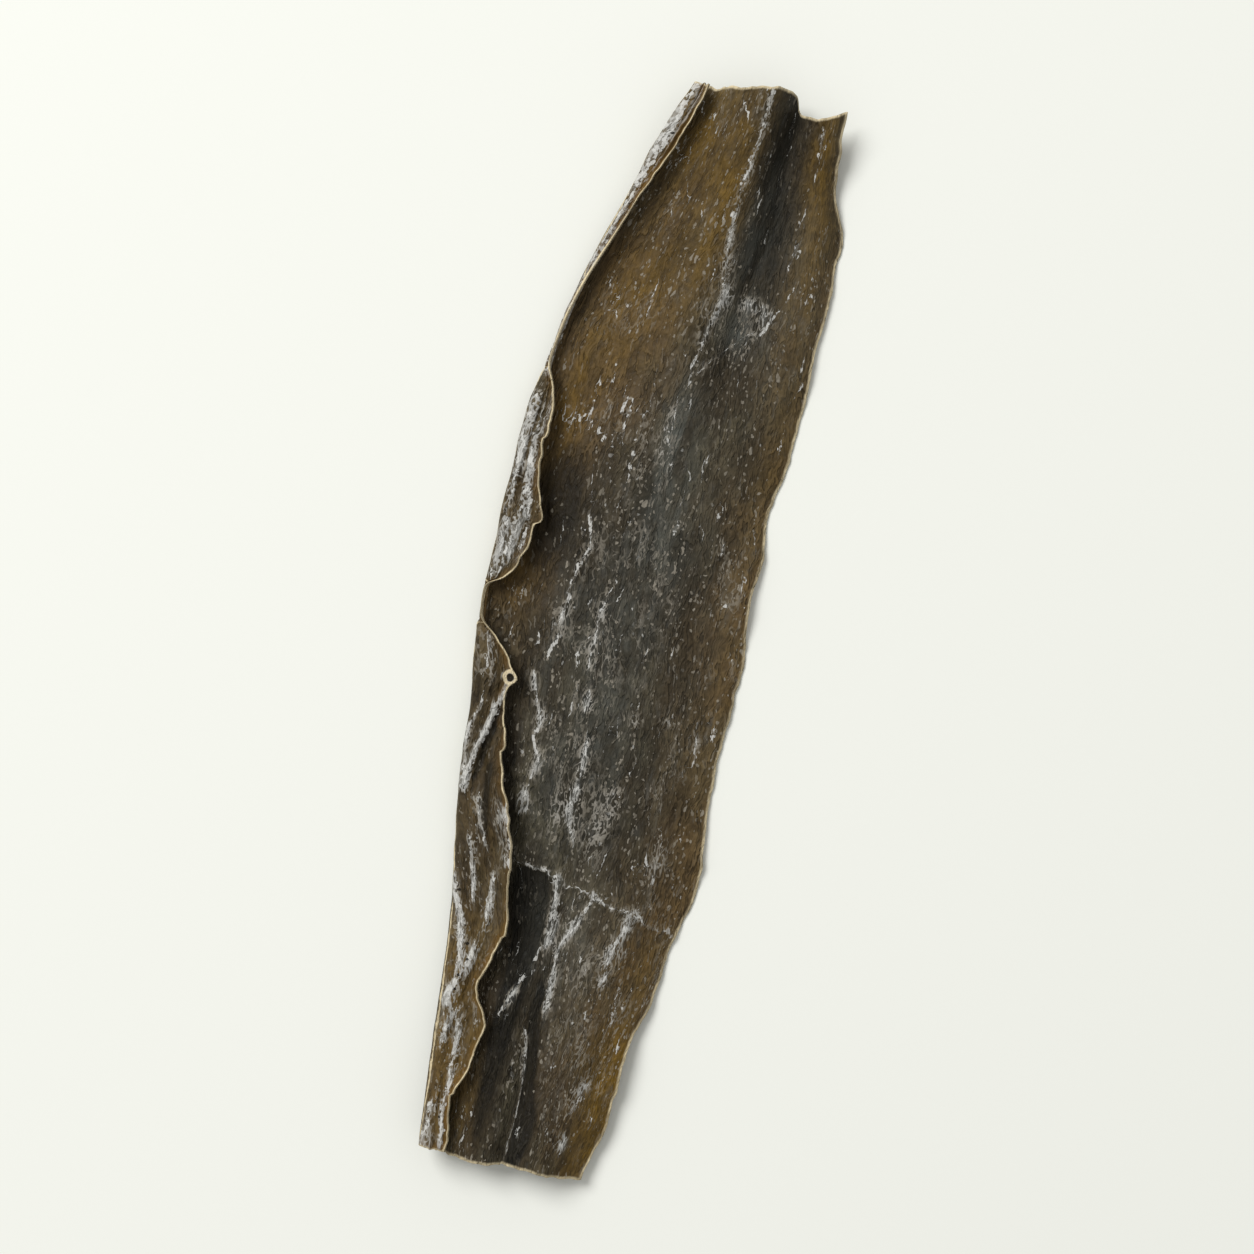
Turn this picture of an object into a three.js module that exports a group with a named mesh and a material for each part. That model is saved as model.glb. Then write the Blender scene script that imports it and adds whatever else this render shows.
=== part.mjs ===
// A dried kombu strip: one leathery blade of seaweed, cut across at both ends and lying flat, with its
// left margin rolled over on top of it. Millimetres, +Z up, +Y along the strip towards its narrow end.
// The origin is at the middle of the strip, on the surface that it lies on.
import * as THREE from 'three';
import { LoftGeometry } from 'three/addons/geometries/LoftGeometry.js';
import { mergeGeometries, mergeVertices } from 'three/addons/utils/BufferGeometryUtils.js';

// Driving dimensions
const LENGTH = 166;
const THICK_BAND = 1.5; // thickness of the blade's middle band
const THICK_ROLL = 0.8; // thickness where the margin rolls over
const THICK_EDGE = 0.5; // thickness of the thin edges
const BAND_TAPER = 11; // distance over which the band thins towards the right edge
const ROLL_TAPER = 0.3; // share of the width over which it thins towards the roll
const ROLL_RADIUS = 1.35; // of the middle of the blade, round the roll
const ROLL_ANGLE = THREE.MathUtils.degToRad(167); // a margin that lies folded over
const RIM_ANGLE = THREE.MathUtils.degToRad(84); // a margin that only stands up
const RIM_HEIGHT = 1.0; // of the margin past the roll, where it is narrowest
const FULL_ROLL_REACH = 2.1; // a margin that reaches this far lies folded over
const ROLL_WAVE = { angle: THREE.MathUtils.degToRad(6), pitch: 23 }; // the free edge lifts and dips

// Plan outline, as [distance along the strip, place across it]
const RIGHT_EDGE = [
  [-83, 14.6], [-75, 16.6], [-61, 17.0], [-55, 18.8], [-46, 19.6], [-35, 21.4], [-21, 19.9], [-2, 20.0],
  [9, 18.8], [15, 19.2], [22, 18.3], [28, 19.4], [50, 19.5], [65, 19.2], [72, 16.4], [83, 15.1],
];
const ROLLED_SIDE = [
  [-83, -10.3], [-64, -12.2], [-48, -14.0], [-37, -16.2], [-28, -17.9], [-10, -19.6], [0, -21.0],
  [22, -21.4], [30, -20.9], [36, -19.9], [45, -18.8], [60, -15.2], [72, -11.5], [83, -8.1],
];

// How far the rolled margin reaches back over the blade, and the tears in it
const ROLL_REACH = [
  [-83, 4.4], [-75, 4.8], [-63, 7.8], [-52, 8.9], [-36, 10.2], [-24, 7.6], [-14, 6.4], [-6, 6.2], [3, 6.0],
  [12, 6.8], [22, 5.0], [30, 3.4], [37, 0.6], [46, 0.7], [62, 2.1], [74, 2.5], [83, 2.2],
];
const TEARS = [
  { at: -57.5, depth: 3.4, half: 2.6 },
  { at: -15, depth: 1.1, half: 2.2 },
  { at: -1, depth: 6.0, half: 4.2 },
];

// Relief of the blade: its arch, the lift of its ends, and the lengthwise valleys (depth above 0) and
// crests (depth below 0). A valley or crest lies at a share of the width and deepens from one
// distance along the strip to another.
const ARCH_HEIGHT = 1.7;
const NARROW_END_LIFT = { from: 40, height: 3.4 };
const CREASE = { at: -35.2, slant: -8.1, half: 2.0, height: 0.5, from: 0.2, full: 0.4 }; // across the strip
const WIDE_END_LIFT = 3.0; // the strip bends up past the crease
const RUFFLE = { height: 0.75, pitch: 37, from: 0.84 }; // of the right margin
const FURROWS = [
  { share: 0.67, half: 0.1, depth: 2.4, from: 5, to: 80 },
  { share: 0.9, half: 0.07, depth: -1.0, from: 20, to: 70 },
  { share: 0.43, half: 0.12, depth: -1.2, from: 10, to: 75 },
  { share: 0.13, half: 0.07, depth: 0.5, from: 0, to: 40 },
  { share: 0.47, half: 0.07, depth: 1.5, from: -25, to: -75 },
  { share: 0.72, half: 0.14, depth: -0.8, from: -20, to: -70 },
];
const FLOOR_SOFTNESS = 0.3; // how gently the relief levels off where it meets the surface below
const FLOOR_SINK = 0.14; // the lowest places are flattened by this much

// Uneven cuts at the two ends, as [share of the width, distance along the strip], dying away from the end
const CUT_DEPTH = 9;
const NARROW_CUT = [[0, -1.1], [0.3, 0], [0.6, 1], [0.67, -1], [0.84, -1.7], [1, 0.3]];
const WIDE_CUT = [[0, -0.1], [0.3, -0.8], [0.55, 0], [0.8, -0.4], [1, 0.1]];

// Facets
const ROWS = 64;
const BLADE_STEPS = 20;
const ROLL_STEPS = 6;
const MARGIN_STEPS = 4;

const { clamp, lerp, smoothstep } = THREE.MathUtils;

const hump = (distance, half) => Math.exp(-((distance / half) ** 2));

// A smooth curve through [position, value] knots, sloped at each knot by its neighbours.
function through(knots, position) {
  const last = knots.length - 1;
  let i = 0;
  while (i < last - 1 && position > knots[i + 1][0]) i += 1;
  const slope = (k) => {
    const [before, after] = [knots[Math.max(k - 1, 0)], knots[Math.min(k + 1, last)]];
    return (after[1] - before[1]) / (after[0] - before[0]);
  };
  const [start, end] = [knots[i], knots[i + 1]];
  const span = end[0] - start[0];
  const t = clamp((position - start[0]) / span, 0, 1);
  const ease = t * t * (3 - 2 * t);
  const lead = t * (1 - t) * span;
  return lerp(start[1], end[1], ease) + lead * (slope(i) * (1 - t) - slope(i + 1) * t);
}

function rollReach(y) {
  const torn = TEARS.reduce((sum, tear) => sum + tear.depth * hump(y - tear.at, tear.half), 0);
  return Math.max(through(ROLL_REACH, y) - torn, 0);
}

// How much a furrow has deepened at a distance along the strip, whichever way it runs.
function deepening({ from, to }, y) {
  return smoothstep((y - from) / (to - from), 0, 1);
}

// Height of the blade's underside at a share of the width, 0 at the roll and 1 at the right edge.
function relief(share, y) {
  const narrowEnd = (y - NARROW_END_LIFT.from) / (LENGTH / 2 - NARROW_END_LIFT.from);
  const pastCrease = CREASE.at + CREASE.slant * share - y;
  const ruffled = smoothstep(share, RUFFLE.from, 1);
  const furrows = FURROWS.reduce(
    (sum, furrow) => sum + furrow.depth * deepening(furrow, y) * hump(share - furrow.share, furrow.half),
    0,
  );
  const height =
    ARCH_HEIGHT * Math.sin(Math.PI * share) ** 2 +
    NARROW_END_LIFT.height * Math.max(narrowEnd, 0) ** 2 +
    (WIDE_END_LIFT * Math.max(pastCrease, 0)) / (LENGTH / 2 + CREASE.at) +
    CREASE.height * smoothstep(share, CREASE.from, CREASE.full) * hump(pastCrease, CREASE.half) +
    RUFFLE.height * ruffled * Math.sin((2 * Math.PI * y) / RUFFLE.pitch) -
    furrows;
  return (height + Math.hypot(height, FLOOR_SOFTNESS)) / 2 - FLOOR_SINK;
}

// The uneven cut: how far a place across the strip sits beyond its row.
function cutOffset(share, y) {
  const cut = y > 0 ? NARROW_CUT : WIDE_CUT;
  const nearEnd = smoothstep(Math.abs(y), LENGTH / 2 - CUT_DEPTH, LENGTH / 2);
  return nearEnd * through(cut, share);
}

// The middle line of the strip's thickness at a distance along it, from the right edge over the blade,
// round the roll and out to the margin's free edge. Each point holds its own thickness.
function middleLine(y) {
  const line = [];
  const reach = rollReach(y);
  const rightEdge = through(RIGHT_EDGE, y);
  const rollStart = through(ROLLED_SIDE, y) + ROLL_RADIUS + THICK_ROLL / 2;
  for (let i = 0; i <= BLADE_STEPS; i += 1) {
    const share = 1 - i / BLADE_STEPS;
    const x = lerp(rollStart, rightEdge, share);
    const fromRight = smoothstep(rightEdge - x, 0, BAND_TAPER);
    const band = lerp(THICK_EDGE, THICK_BAND, fromRight);
    const thickness = lerp(THICK_ROLL, band, smoothstep(share, 0, ROLL_TAPER));
    const z = relief(share, y) + thickness / 2;
    line.push({ point: new THREE.Vector3(x, y + cutOffset(share, y), z), thickness });
  }
  const start = line[line.length - 1].point;
  const wave = ROLL_WAVE.angle * Math.sin((2 * Math.PI * y) / ROLL_WAVE.pitch);
  const turn = lerp(RIM_ANGLE, ROLL_ANGLE + wave, smoothstep(reach, 0, FULL_ROLL_REACH));
  for (let i = 1; i <= ROLL_STEPS; i += 1) {
    const angle = (turn * i) / ROLL_STEPS;
    const round = new THREE.Vector3(-Math.sin(angle), 0, 1 - Math.cos(angle));
    line.push({ point: start.clone().addScaledVector(round, ROLL_RADIUS), thickness: THICK_ROLL });
  }
  const rollEnd = line[line.length - 1].point;
  const away = new THREE.Vector3(-Math.cos(turn), 0, Math.sin(turn));
  const flat = RIM_HEIGHT + Math.max(reach - ROLL_RADIUS - THICK_ROLL / 2, 0);
  for (let i = 1; i <= MARGIN_STEPS; i += 1) {
    const share = i / MARGIN_STEPS;
    const thickness = lerp(THICK_ROLL, THICK_EDGE, share);
    line.push({ point: rollEnd.clone().addScaledVector(away, flat * share), thickness });
  }
  return line;
}

// The strip's two faces at a distance along it, each from the right edge to the margin's free edge. The
// lower one is no lower than the surface the strip lies on.
function facesAt(y) {
  const line = middleLine(y);
  const faces = { upper: [], lower: [] };
  line.forEach(({ point, thickness }, i) => {
    const before = line[Math.max(i - 1, 0)].point;
    const after = line[Math.min(i + 1, line.length - 1)].point;
    const up = new THREE.Vector3(after.z - before.z, 0, before.x - after.x).normalize();
    faces.upper.push(point.clone().addScaledVector(up, thickness / 2));
    faces.lower.push(point.clone().addScaledVector(up, -thickness / 2));
  });
  faces.lower.forEach((point) => point.setZ(Math.max(point.z, 0)));
  return faces;
}

// A skin lofted round all the rows, closed by a ribbon across the thickness at each cut end.
function stripGeometry() {
  const rows = [];
  for (let row = 0; row <= ROWS; row += 1) rows.push(facesAt(LENGTH * (row / ROWS - 0.5)));
  const [wideEnd, narrowEnd] = [rows[0], rows[ROWS]];
  const skin = new LoftGeometry(rows.map(({ lower, upper }) => [...lower, ...upper.toReversed()]));
  const wideCut = new LoftGeometry([wideEnd.upper, wideEnd.lower], { closed: false });
  const narrowCut = new LoftGeometry([narrowEnd.lower, narrowEnd.upper], { closed: false });
  const joined = mergeGeometries([skin, wideCut, narrowCut]);
  joined.deleteAttribute('normal');
  joined.deleteAttribute('uv');
  const geometry = mergeVertices(joined);
  geometry.computeVertexNormals();
  return geometry;
}

const driedBlade = new THREE.MeshStandardMaterial({ color: 0x4c4333, roughness: 0.62, metalness: 0 });

const strip = new THREE.Mesh(stripGeometry(), driedBlade);
strip.name = 'kombu_strip';

const kombu = new THREE.Group();
kombu.add(strip);

export default kombu;
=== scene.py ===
import math

import bpy
import numpy as np
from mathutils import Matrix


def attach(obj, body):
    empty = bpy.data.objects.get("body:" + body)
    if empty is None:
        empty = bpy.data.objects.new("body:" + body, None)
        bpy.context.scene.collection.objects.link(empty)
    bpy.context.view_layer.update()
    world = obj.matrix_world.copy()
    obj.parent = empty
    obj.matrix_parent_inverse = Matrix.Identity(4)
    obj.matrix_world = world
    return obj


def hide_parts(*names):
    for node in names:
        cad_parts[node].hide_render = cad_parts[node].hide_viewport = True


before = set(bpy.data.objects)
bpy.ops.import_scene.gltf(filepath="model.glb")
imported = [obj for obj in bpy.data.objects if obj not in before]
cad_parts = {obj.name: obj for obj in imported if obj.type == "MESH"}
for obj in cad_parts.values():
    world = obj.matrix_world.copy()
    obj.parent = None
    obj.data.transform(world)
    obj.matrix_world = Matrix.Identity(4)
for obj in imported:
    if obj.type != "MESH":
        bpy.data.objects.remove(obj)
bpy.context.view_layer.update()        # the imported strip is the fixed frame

mm = 0.001  # the strip is worked out in millimetres and placed in metres


# small curves that every shape below is made of

def smooth(x, low, high):
    # 0 up to low, 1 past high, an S curve between
    t = np.clip((x - low) / (high - low), 0, 1)
    return t * t * (3 - 2 * t)


def mix(a, b, share):
    # a at share 0, b at share 1
    return a + (b - a) * share


def hump(distance, half):
    # bell curve, 1 in the middle and 1/e at the half width
    return np.exp(-(distance / half) ** 2)


def through(knots, at):
    # cubic through [place, value] knots, the slope at each knot taken from its two neighbours
    place, value = np.array(knots, float).T
    last = len(place) - 1
    before = np.maximum(np.arange(last + 1) - 1, 0)
    after = np.minimum(np.arange(last + 1) + 1, last)
    slope = (value[after] - value[before]) / (place[after] - place[before])
    i = np.clip(np.searchsorted(place, at) - 1, 0, last - 1)
    span = place[i + 1] - place[i]
    t = np.clip((at - place[i]) / span, 0, 1)
    ease = t * t * (3 - 2 * t)
    lead = t * (1 - t) * span
    return mix(value[i], value[i + 1], ease) + lead * (slope[i] * (1 - t) - slope[i + 1] * t)


def grain(seed, shape, *reach):
    # white noise blurred by a bell curve of the given reach, in grid steps along each axis, and scaled
    # to a spread of 1
    noise = np.random.default_rng(seed).standard_normal(shape)
    for axis, steps in enumerate(reach):
        frequency = np.fft.fftfreq(shape[axis])
        keep = np.exp(-2 * (math.pi * steps * frequency) ** 2)
        keep = keep.reshape([-1 if k == axis else 1 for k in range(len(shape))])
        noise = np.fft.ifft(np.fft.fft(noise, axis=axis) * keep, axis=axis).real
    return noise / noise.std()


# the strip: sizes in millimetres, shares of the width run from 0 at the roll to 1 at the right edge

stripForm = {
    "length": 166.0,
    "thickBand": 1.5,                 # middle band of the blade
    "thickRoll": 0.8,                 # where the margin rolls over
    "thickEdge": 0.5,                 # thin edges
    "bandTaper": 11.0,                # the band thins over this distance from the right edge
    "rollTaper": 0.3,                 # and over this share of the width from the roll
    "rollRadius": 1.35,
    "rollAngle": math.radians(167),   # margin that lies folded over
    "rimAngle": math.radians(84),     # margin that only stands up
    "rimHeight": 1.0,
    "fullRollReach": 2.1,
    "rollWave": math.radians(6),
    "rollWavePitch": 23.0,
    "rightEdge": [
        [-83, 14.6], [-75, 16.6], [-61, 17.0], [-55, 18.8], [-46, 19.6], [-35, 21.4], [-21, 19.9],
        [-2, 20.0], [9, 18.8], [15, 19.2], [22, 18.3], [28, 19.4], [50, 19.5], [65, 19.2], [72, 16.4],
        [83, 15.1]],
    "rolledSide": [
        [-83, -10.3], [-64, -12.2], [-48, -14.0], [-37, -16.2], [-28, -17.9], [-10, -19.6], [0, -21.0],
        [22, -21.4], [30, -20.9], [36, -19.9], [45, -18.8], [60, -15.2], [72, -11.5], [83, -8.1]],
    "rollReach": [
        [-83, 3.6], [-75, 3.8], [-70, 5.4], [-66, 6.2], [-63, 6.9], [-61, 6.5], [-59.5, 5.4],
        [-58.2, 5.0], [-56.5, 5.5], [-54, 6.9], [-51, 8.0], [-49.3, 8.8], [-44.5, 8.9], [-38, 9.4],
        [-34.8, 9.7], [-31, 8.8], [-27, 7.3], [-20, 5.6], [-15, 4.8], [-10, 4.7], [-8, 4.1],
        [-6.6, 3.2], [-5.2, 1.6], [-3.4, 0.3], [-1.2, 0], [0.4, 0.2], [1.6, 0.9], [2.8, 2.2],
        [4.2, 3.4], [6, 4.2], [8, 4.8], [11, 5.5], [12.3, 6.1], [15, 5.5], [18, 4.8], [22, 4.1],
        [30, 2.9], [37, 0.5], [46, 0.6], [62, 1.7], [74, 2.1], [83, 1.8]],
    "arch": 1.7,
    "narrowLift": [40.0, 3.4],        # from here on the narrow end lifts by this much
    "crease": {"at": -35.2, "slant": -8.1, "half": 2.0, "height": 0.5, "from": 0.2, "full": 0.4},
    "wideLift": 3.0,                  # the strip bends up past the crease
    "ruffle": {"height": 0.75, "pitch": 37.0, "from": 0.84},
    "furrows": [                      # share, half width, depth (a crest below 0), deepening from, to
        [0.67, 0.1, 2.4, 5, 80], [0.9, 0.07, -1.0, 20, 70], [0.43, 0.12, -1.2, 10, 75],
        [0.13, 0.07, 0.5, 0, 40], [0.47, 0.07, 1.5, -25, -75], [0.72, 0.14, -0.8, -20, -70]],
    "floorSoftness": 0.3,
    "floorSink": 0.14,
    "cutDepth": 9.0,
    "narrowCut": [[0, -1.1], [0.3, 0], [0.6, 1], [0.67, -1], [0.84, -1.7], [1, 0.3]],
    "wideCut": [[0, -0.1], [0.3, -0.8], [0.55, 0], [0.8, -0.4], [1, 0.1]],
}

# fine shape that the dry blade adds: heights in millimetres, reach across and along in millimetres
dryWrinkles = {
    "rows": 376,
    "bladeSteps": 92,
    "rollSteps": 14,
    "marginSteps": 24,
    "cockle": {"height": 0.17, "across": 2.6, "along": 7.0, "seed": 11},
    "ribs": {"height": 0.09, "across": 1.3, "along": 10.0, "seed": 12},
    "pucker": {"height": 0.045, "across": 0.7, "along": 1.2, "seed": 13},
    "marginRibs": {"height": 0.16, "across": 0.6, "along": 4.0, "seed": 14},
    "lip": {"turn": math.radians(22), "spread": math.radians(18), "from": 0.55, "along": 4.0, "seed": 15},
    "frill": {"height": 0.2, "along": 2.2, "from": 0.88, "seed": 16},
    "ragged": [[0.07, 0.5, 17], [0.09, 1.6, 27]],              # out, along, seed
    "freeEdge": [[0.09, 0.4, 18], [0.12, 1.0, 28], [0.08, 3.0, 38]],
    "raggedPower": 12,                # the higher, the closer to the right edge its raggedness stays
    "creaseRidge": {"height": 0.28, "half": 0.55, "from": 0.2, "full": 0.3},
    "rimReach": 1.2,                  # the bare edges are thin and calm within this distance
    "rimThin": 0.6,                   # share of the thickness left there
    "rimRelief": 0.35,                # share of the wrinkles left there
    "overFold": [1.2, 1.9],           # turn round the roll over which a place comes to lie folded over
    "offFold": 9.0,                   # added to distances on the fold for places that aren't on it
    "foldLine": math.radians(100),    # how far round the roll its pale line lies
    "lyingTurn": [1.7, 2.1],          # turn of the whole roll over which the margin comes to lie down
    "offLine": 6.0,                   # how far the pale line moves off where the margin only stands up
    "cutRagged": {"out": 0.09, "across": 0.5, "step": 0.4, "depth": 1.4, "seed": 19},
    "bladeWidth": 36.0,               # usual width, for the pattern's own millimetres
    # calm outlines that the fibres follow
    "fibreLeft": [[-83, -9.0], [-30, -16.0], [15, -20.2], [50, -16.5], [83, -7.0]],
    "fibreRight": [[-83, 15.2], [-35, 20.2], [30, 19.2], [83, 15.4]],
}


def lineRows(rows, *names):
    # rows of a path and its values, as many as a line has, under these names
    return [{"path": path, **dict(zip(names, values))} for path, *values in rows]


# lines of bloom on the blade: path of [along, place across], then the strength of a crisp thread, of the
# powder beside it and its half width, and the height where the line stands up
bladeLines = lineRows([
    [[[40, 1.5], [46, 2.2], [52, 3.4], [54.3, 2.9], [61, 2.3], [67, 2.3], [73, 2.9], [84, 3.5]],
     0.8, 0.25, 0.45, 0.12],
    [[[46, -6.6], [51.5, -6.4]], 0.45, 0.2, 0.6],
    [[[78.5, 12.4], [81, 12.5]], 0.9, 0.2, 0.5],
    [[[57, 12.1], [62.5, 12.7]], 0.8, 0.2, 0.6],
    [[[38, 1.0], [44, 5.5], [48, 9.5]], 0.2, 0.15, 0.7],
    [[[47.2, 10.2], [49.6, 11.4], [52.4, 12.8]], 0.7, 0.4, 0.7],
    [[[27.6, -6.0], [30.3, -5.9], [33.5, -5.8]], 1.3, 0.2, 0.5],
    [[[31.5, -7.0], [35.0, -6.9]], 1.2],
    [[[28.6, -11.4], [31.5, -11.6], [35.3, -11.4]], 0.9],
    [[[33.7, -3.0], [38.7, -3.2]], 0.8],
    [[[36.0, -9.3], [38.2, -9.4]], 1.0],
    [[[22.0, -3.7], [28.6, -4.0]], 0.6],
    [[[10.0, -6.4], [15.0, -8.0]], 1.0],
    [[[26.5, 1.2], [31, 0.8], [36, 0.6]], 0.3, 0.12, 1.0],
    [[[24.5, 7], [28.5, 7]], 0.35, 0.2, 0.6],
    [[[-31, -7.5], [-27, -7.2], [-24.7, -6.9], [-23, -6.6], [-21, -7.5], [-19.4, -8.1], [-17.4, -7.8],
      [-15.4, -8.3], [-13.5, -9.2], [-9.5, -10.6]], 1.15, 0.5, 0.8, 0.2],
    [[[-7, -8.9], [-5.6, -8.6], [2.3, -8.1], [7.3, -7.8], [10.7, -6.7], [15.7, -8]],
     0.8, 0.2, 0.6, 0.06],
    [[[-34, 1.5], [-29.7, -0.2], [-24, 0.1], [-20, 0], [-17, -0.3]], 0.65, 0.35, 0.6, 0.1],
    [[[-13.5, -1.6], [-11, -1.8]], 0.9, 0.4, 0.5],
    [[[-15, -3.6], [-10.5, -3.6]], 0.6, 0.3, 0.5],
    [[[-8, -2.7], [1.7, -2.7], [6.2, -1.9]], 0.4, 0.25, 0.6],
    [[[-50, 0.9], [-46.6, 1.2], [-43, 0.9], [-39, 0.4]], 1.0, 0.6, 0.6, 0.15],
    [[[-61.1, -3.2], [-57.8, -1.9], [-55.3, -1.0]], 0.9, 0.4, 0.8],
    [[[-53.9, -0.5], [-50.5, 0.3]], 0.7],
    [[[-54.5, 0], [-51, 0]], 0.45, 0.3, 0.6],
    [[[-59.5, 3.7], [-54.4, 3.4], [-50.5, 3.1], [-46.5, 4.5], [-42, 6], [-39.8, 6.6]],
     0.9, 0.5, 0.6, 0.15],
    [[[-54, 10.4], [-48.2, 10.7], [-44.9, 11.8], [-41.3, 13]], 0.9, 0.5, 0.6, 0.15],
    [[[-81, 3.1], [-74.5, 2.9], [-67, 2.0], [-62, 0.6]], 0.8, 0.35, 0.5, 0.15],
    [[[-55.5, 10.8], [-53, 10.4], [-51.5, 10.8]], 0.4],
    [[[-59, 13], [-54, 13.1]], 0.7, 0.2, 0.5],
    [[[-60, 9], [-55.5, 9.3]], 0.6],
    [[[-73, 10.4], [-68, 12]], 0.35, 0.3, 0.7],
    [[[-79, 10.4], [-76, 10.5]], 0.3, 0.6, 0.9],
    [[[-17.5, 16], [-13.5, 15.8]], 0.4, 0.2, 0.5],
], "vein", "bloom", "half", "height")
# single crumbs of bloom: along, across; each a short stroke that leans by chance
bladeCrumbs = {
    "at": [
        [30.0, -17.0], [29.2, -15.4], [28.6, -13.9], [29.5, -12.5], [28.9, -11.1], [28.4, -9.7],
        [27.6, -8.4], [27.2, -7.4], [-11.8, 5.9], [-15.0, 3.6], [-12.2, 11.0], [-11.6, 15.4],
        [-12.6, 18.0], [-17.2, 16.2], [-33.7, 12.7], [-34.5, 14.0], [-36.5, 14.2], [-33.0, 15.4],
        [-30.0, 14.1], [-27.5, 13.9], [-29.5, 17.2], [76.8, 12.9], [61.0, 13.4], [56.0, 17.0],
        [57.3, 16.6], [43.2, 17.9], [72.5, -8.6], [70.4, -7.6], [66.0, -5.0], [55.1, 16.2],
        [44.6, 18.0], [49.5, -13.2], [47.0, -12.4], [45.2, -11.2], [20.0, 11.0], [16.2, 5.1],
        [14.5, 12.6], [25.6, 2.1], [29.4, 0.2], [-5.0, -11.2], [-2.5, -10.6], [-20.5, 7.4],
        [-63.5, 10.2], [-67.0, 6.4], [-71.0, 12.2], [-77.0, 8.0], [-80.2, -3.8], [-69.0, 0.3],
        [41.8, 18.2], [66.5, 12.6]],
    "half": 0.7,
    "aside": 0.45,
    "vein": [0.75, 1.2],
}
# loose strokes strewn over the blade
looseStrokes = {
    "count": 150,
    "along": [-80, 80],
    "share": [0.06, 0.97],            # of the width between the calm outlines
    "length": [0.6, 3.0],
    "lean": 0.2,
    "vein": [0.15, 0.45],
    "seed": 61,
}

# lines of the folded margin: path of [along, distance from the fold]
foldLines = lineRows([
    [[[-29.7, 1.2], [-24.2, 2.1], [-19.5, 3.5], [-16.1, 4.5], [-13, 5.5]], 1.5, 0.9, 0.6, 0.6],
    [[[-24, 0.3], [-20, 1.0], [-15.5, 2.1]], 0.6, 0.5, 0.5, 0.2],
    [[[-62, 0.9], [-59.1, 1.6], [-56.3, 3.0], [-53.7, 4.0], [-51.5, 4.1]], 1.4, 0.8, 0.7, 0.35],
    [[[-56, 2.2], [-51.1, 1.9], [-48.9, 1.7], [-45, 0.7], [-42, 0.5]], 1.2, 0.7, 0.6, 0.25],
    [[[-38, 5.2], [-33, 4.1], [-30, 3.8]], 0.7, 0.6, 0.6, 0.25],
    [[[-48, 5.7], [-44, 6.1], [-40.5, 6.4]], 0.8, 0.7, 0.6, 0.25],
    [[[-46, 3.4], [-40, 3.0], [-36, 2.2]], 0.6, 0.5, 0.5, 0.2],
    [[[-40, 9.2], [-35, 8.9], [-30.5, 8.0]], 1.3, 1.2, 1.0, 0.25],
    [[[-83, 3.3], [-80, 3.2], [-76.7, 2.9], [-72.9, 3.3], [-65, 3.8]], 1.3, 0.7, 0.5, 0.35],
    [[[-83, 0.9], [-79, 1.1], [-76, 1.2]], 0.6, 0.6, 0.6, 0.2],
    [[[-68, 1.4], [-65, 1.8], [-62, 2.6]], 0.6, 0.4, 0.5, 0.2],
    [[[2, 1.0], [10, 1.4], [20, 1.3], [31, 0.9]], 0.6, 0.55, 0.8, 0.2],
    [[[5, 2.6], [12, 3.3], [18.5, 3.2], [26, 2.2]], 0.7, 0.4, 0.6, 0.25],
    [[[6, 4.0], [10, 4.6], [15, 4.3], [22, 3.3]], 0.7, 0.4, 0.5, 0.15],
    [[[-12, 1.6], [-8, 2.2], [-5, 1.8]], 0.6, 0.5, 0.5, 0.2],
    [[[34, 0.7], [45, 0.9], [60, 1.0], [75, 1.0], [84, 0.9]], 1.2, 1.3, 1.0, 0.15],
], "vein", "bloom", "half", "height")
# grooves beside them, each with painted shade along it: half width, height, strength of the shade
foldLines += lineRows([
    [[[-30, 2.0], [-24.2, 3.1], [-19.5, 4.4], [-15, 5.2]], 0.5, -0.3, 0.7],
    [[[-36, 4.9], [-30, 4.7], [-25, 4.9]], 0.6, -0.15, 0.6],
    [[[-62, 2.6], [-57, 4.2], [-53, 5.2]], 0.5, -0.2, 0.7],
    [[[-50, 3.3], [-45, 2.4], [-40, 1.7]], 0.6, -0.2, 0.6],
    [[[-76, 2.2], [-70, 2.5], [-64, 2.6]], 0.6, -0.2, 0.6],
], "half", "height", "dark")
# how all the lines are drawn
lineForm = {
    "fade": 1.0,                      # a line fades over this distance at its two ends
    "scatter": 0.3,                   # share of its bloom that lies wider
    "wide": 1.8,
    "near": 0.8,                      # how far off a vein is felt
    "off": 3.0,                       # distance given where there is none
    "uneven": 0.4,                    # how unevenly the bloom lies
    "along": 1.4,
    "across": 0.8,
    "seed": 51,
}

# pits of the folded margin: along, distance from the fold, size
foldPits = [
    [-52.0, 3.1, 0.32], [-54.3, 3.5, 0.3], [-56.8, 2.5, 0.32], [-59.0, 2.2, 0.28], [-44.5, 1.2, 0.28],
    [-35.5, 8.2, 0.3], [-78.0, 2.6, 0.28], [-49.5, 2.5, 0.28], [73.8, 1.5, 0.3], [62.0, 1.3, 0.24],
    [68.5, 1.7, 0.2], [55.0, 1.2, 0.22],
]
# nicks of the free edge, sharp above and healing downwards: along, depth, length
freeNicks = [
    [12.2, 0.7, 2.2], [-49.4, 0.5, 2.0], [-39.5, 0.5, 1.5], [-66.0, 0.5, 2.0], [25.0, 0.5, 2.0],
    [-22.5, 0.4, 1.6], [-74.2, 0.5, 2.0],
]
# small ring curled up on the free edge: along and distance from the fold
curlRing = {"at": [-11.6, 5.75], "radius": 0.92, "half": 0.35, "height": 0.4, "out": 1.5, "bulge": 1.2}


def unevenness(layers, y):
    # sum of noise lines along the strip, each with its own size and reach
    step = y[1, 0] - y[0, 0]
    return sum(out * grain(seed, y.shape, along / step) for out, along, seed in layers)


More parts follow.
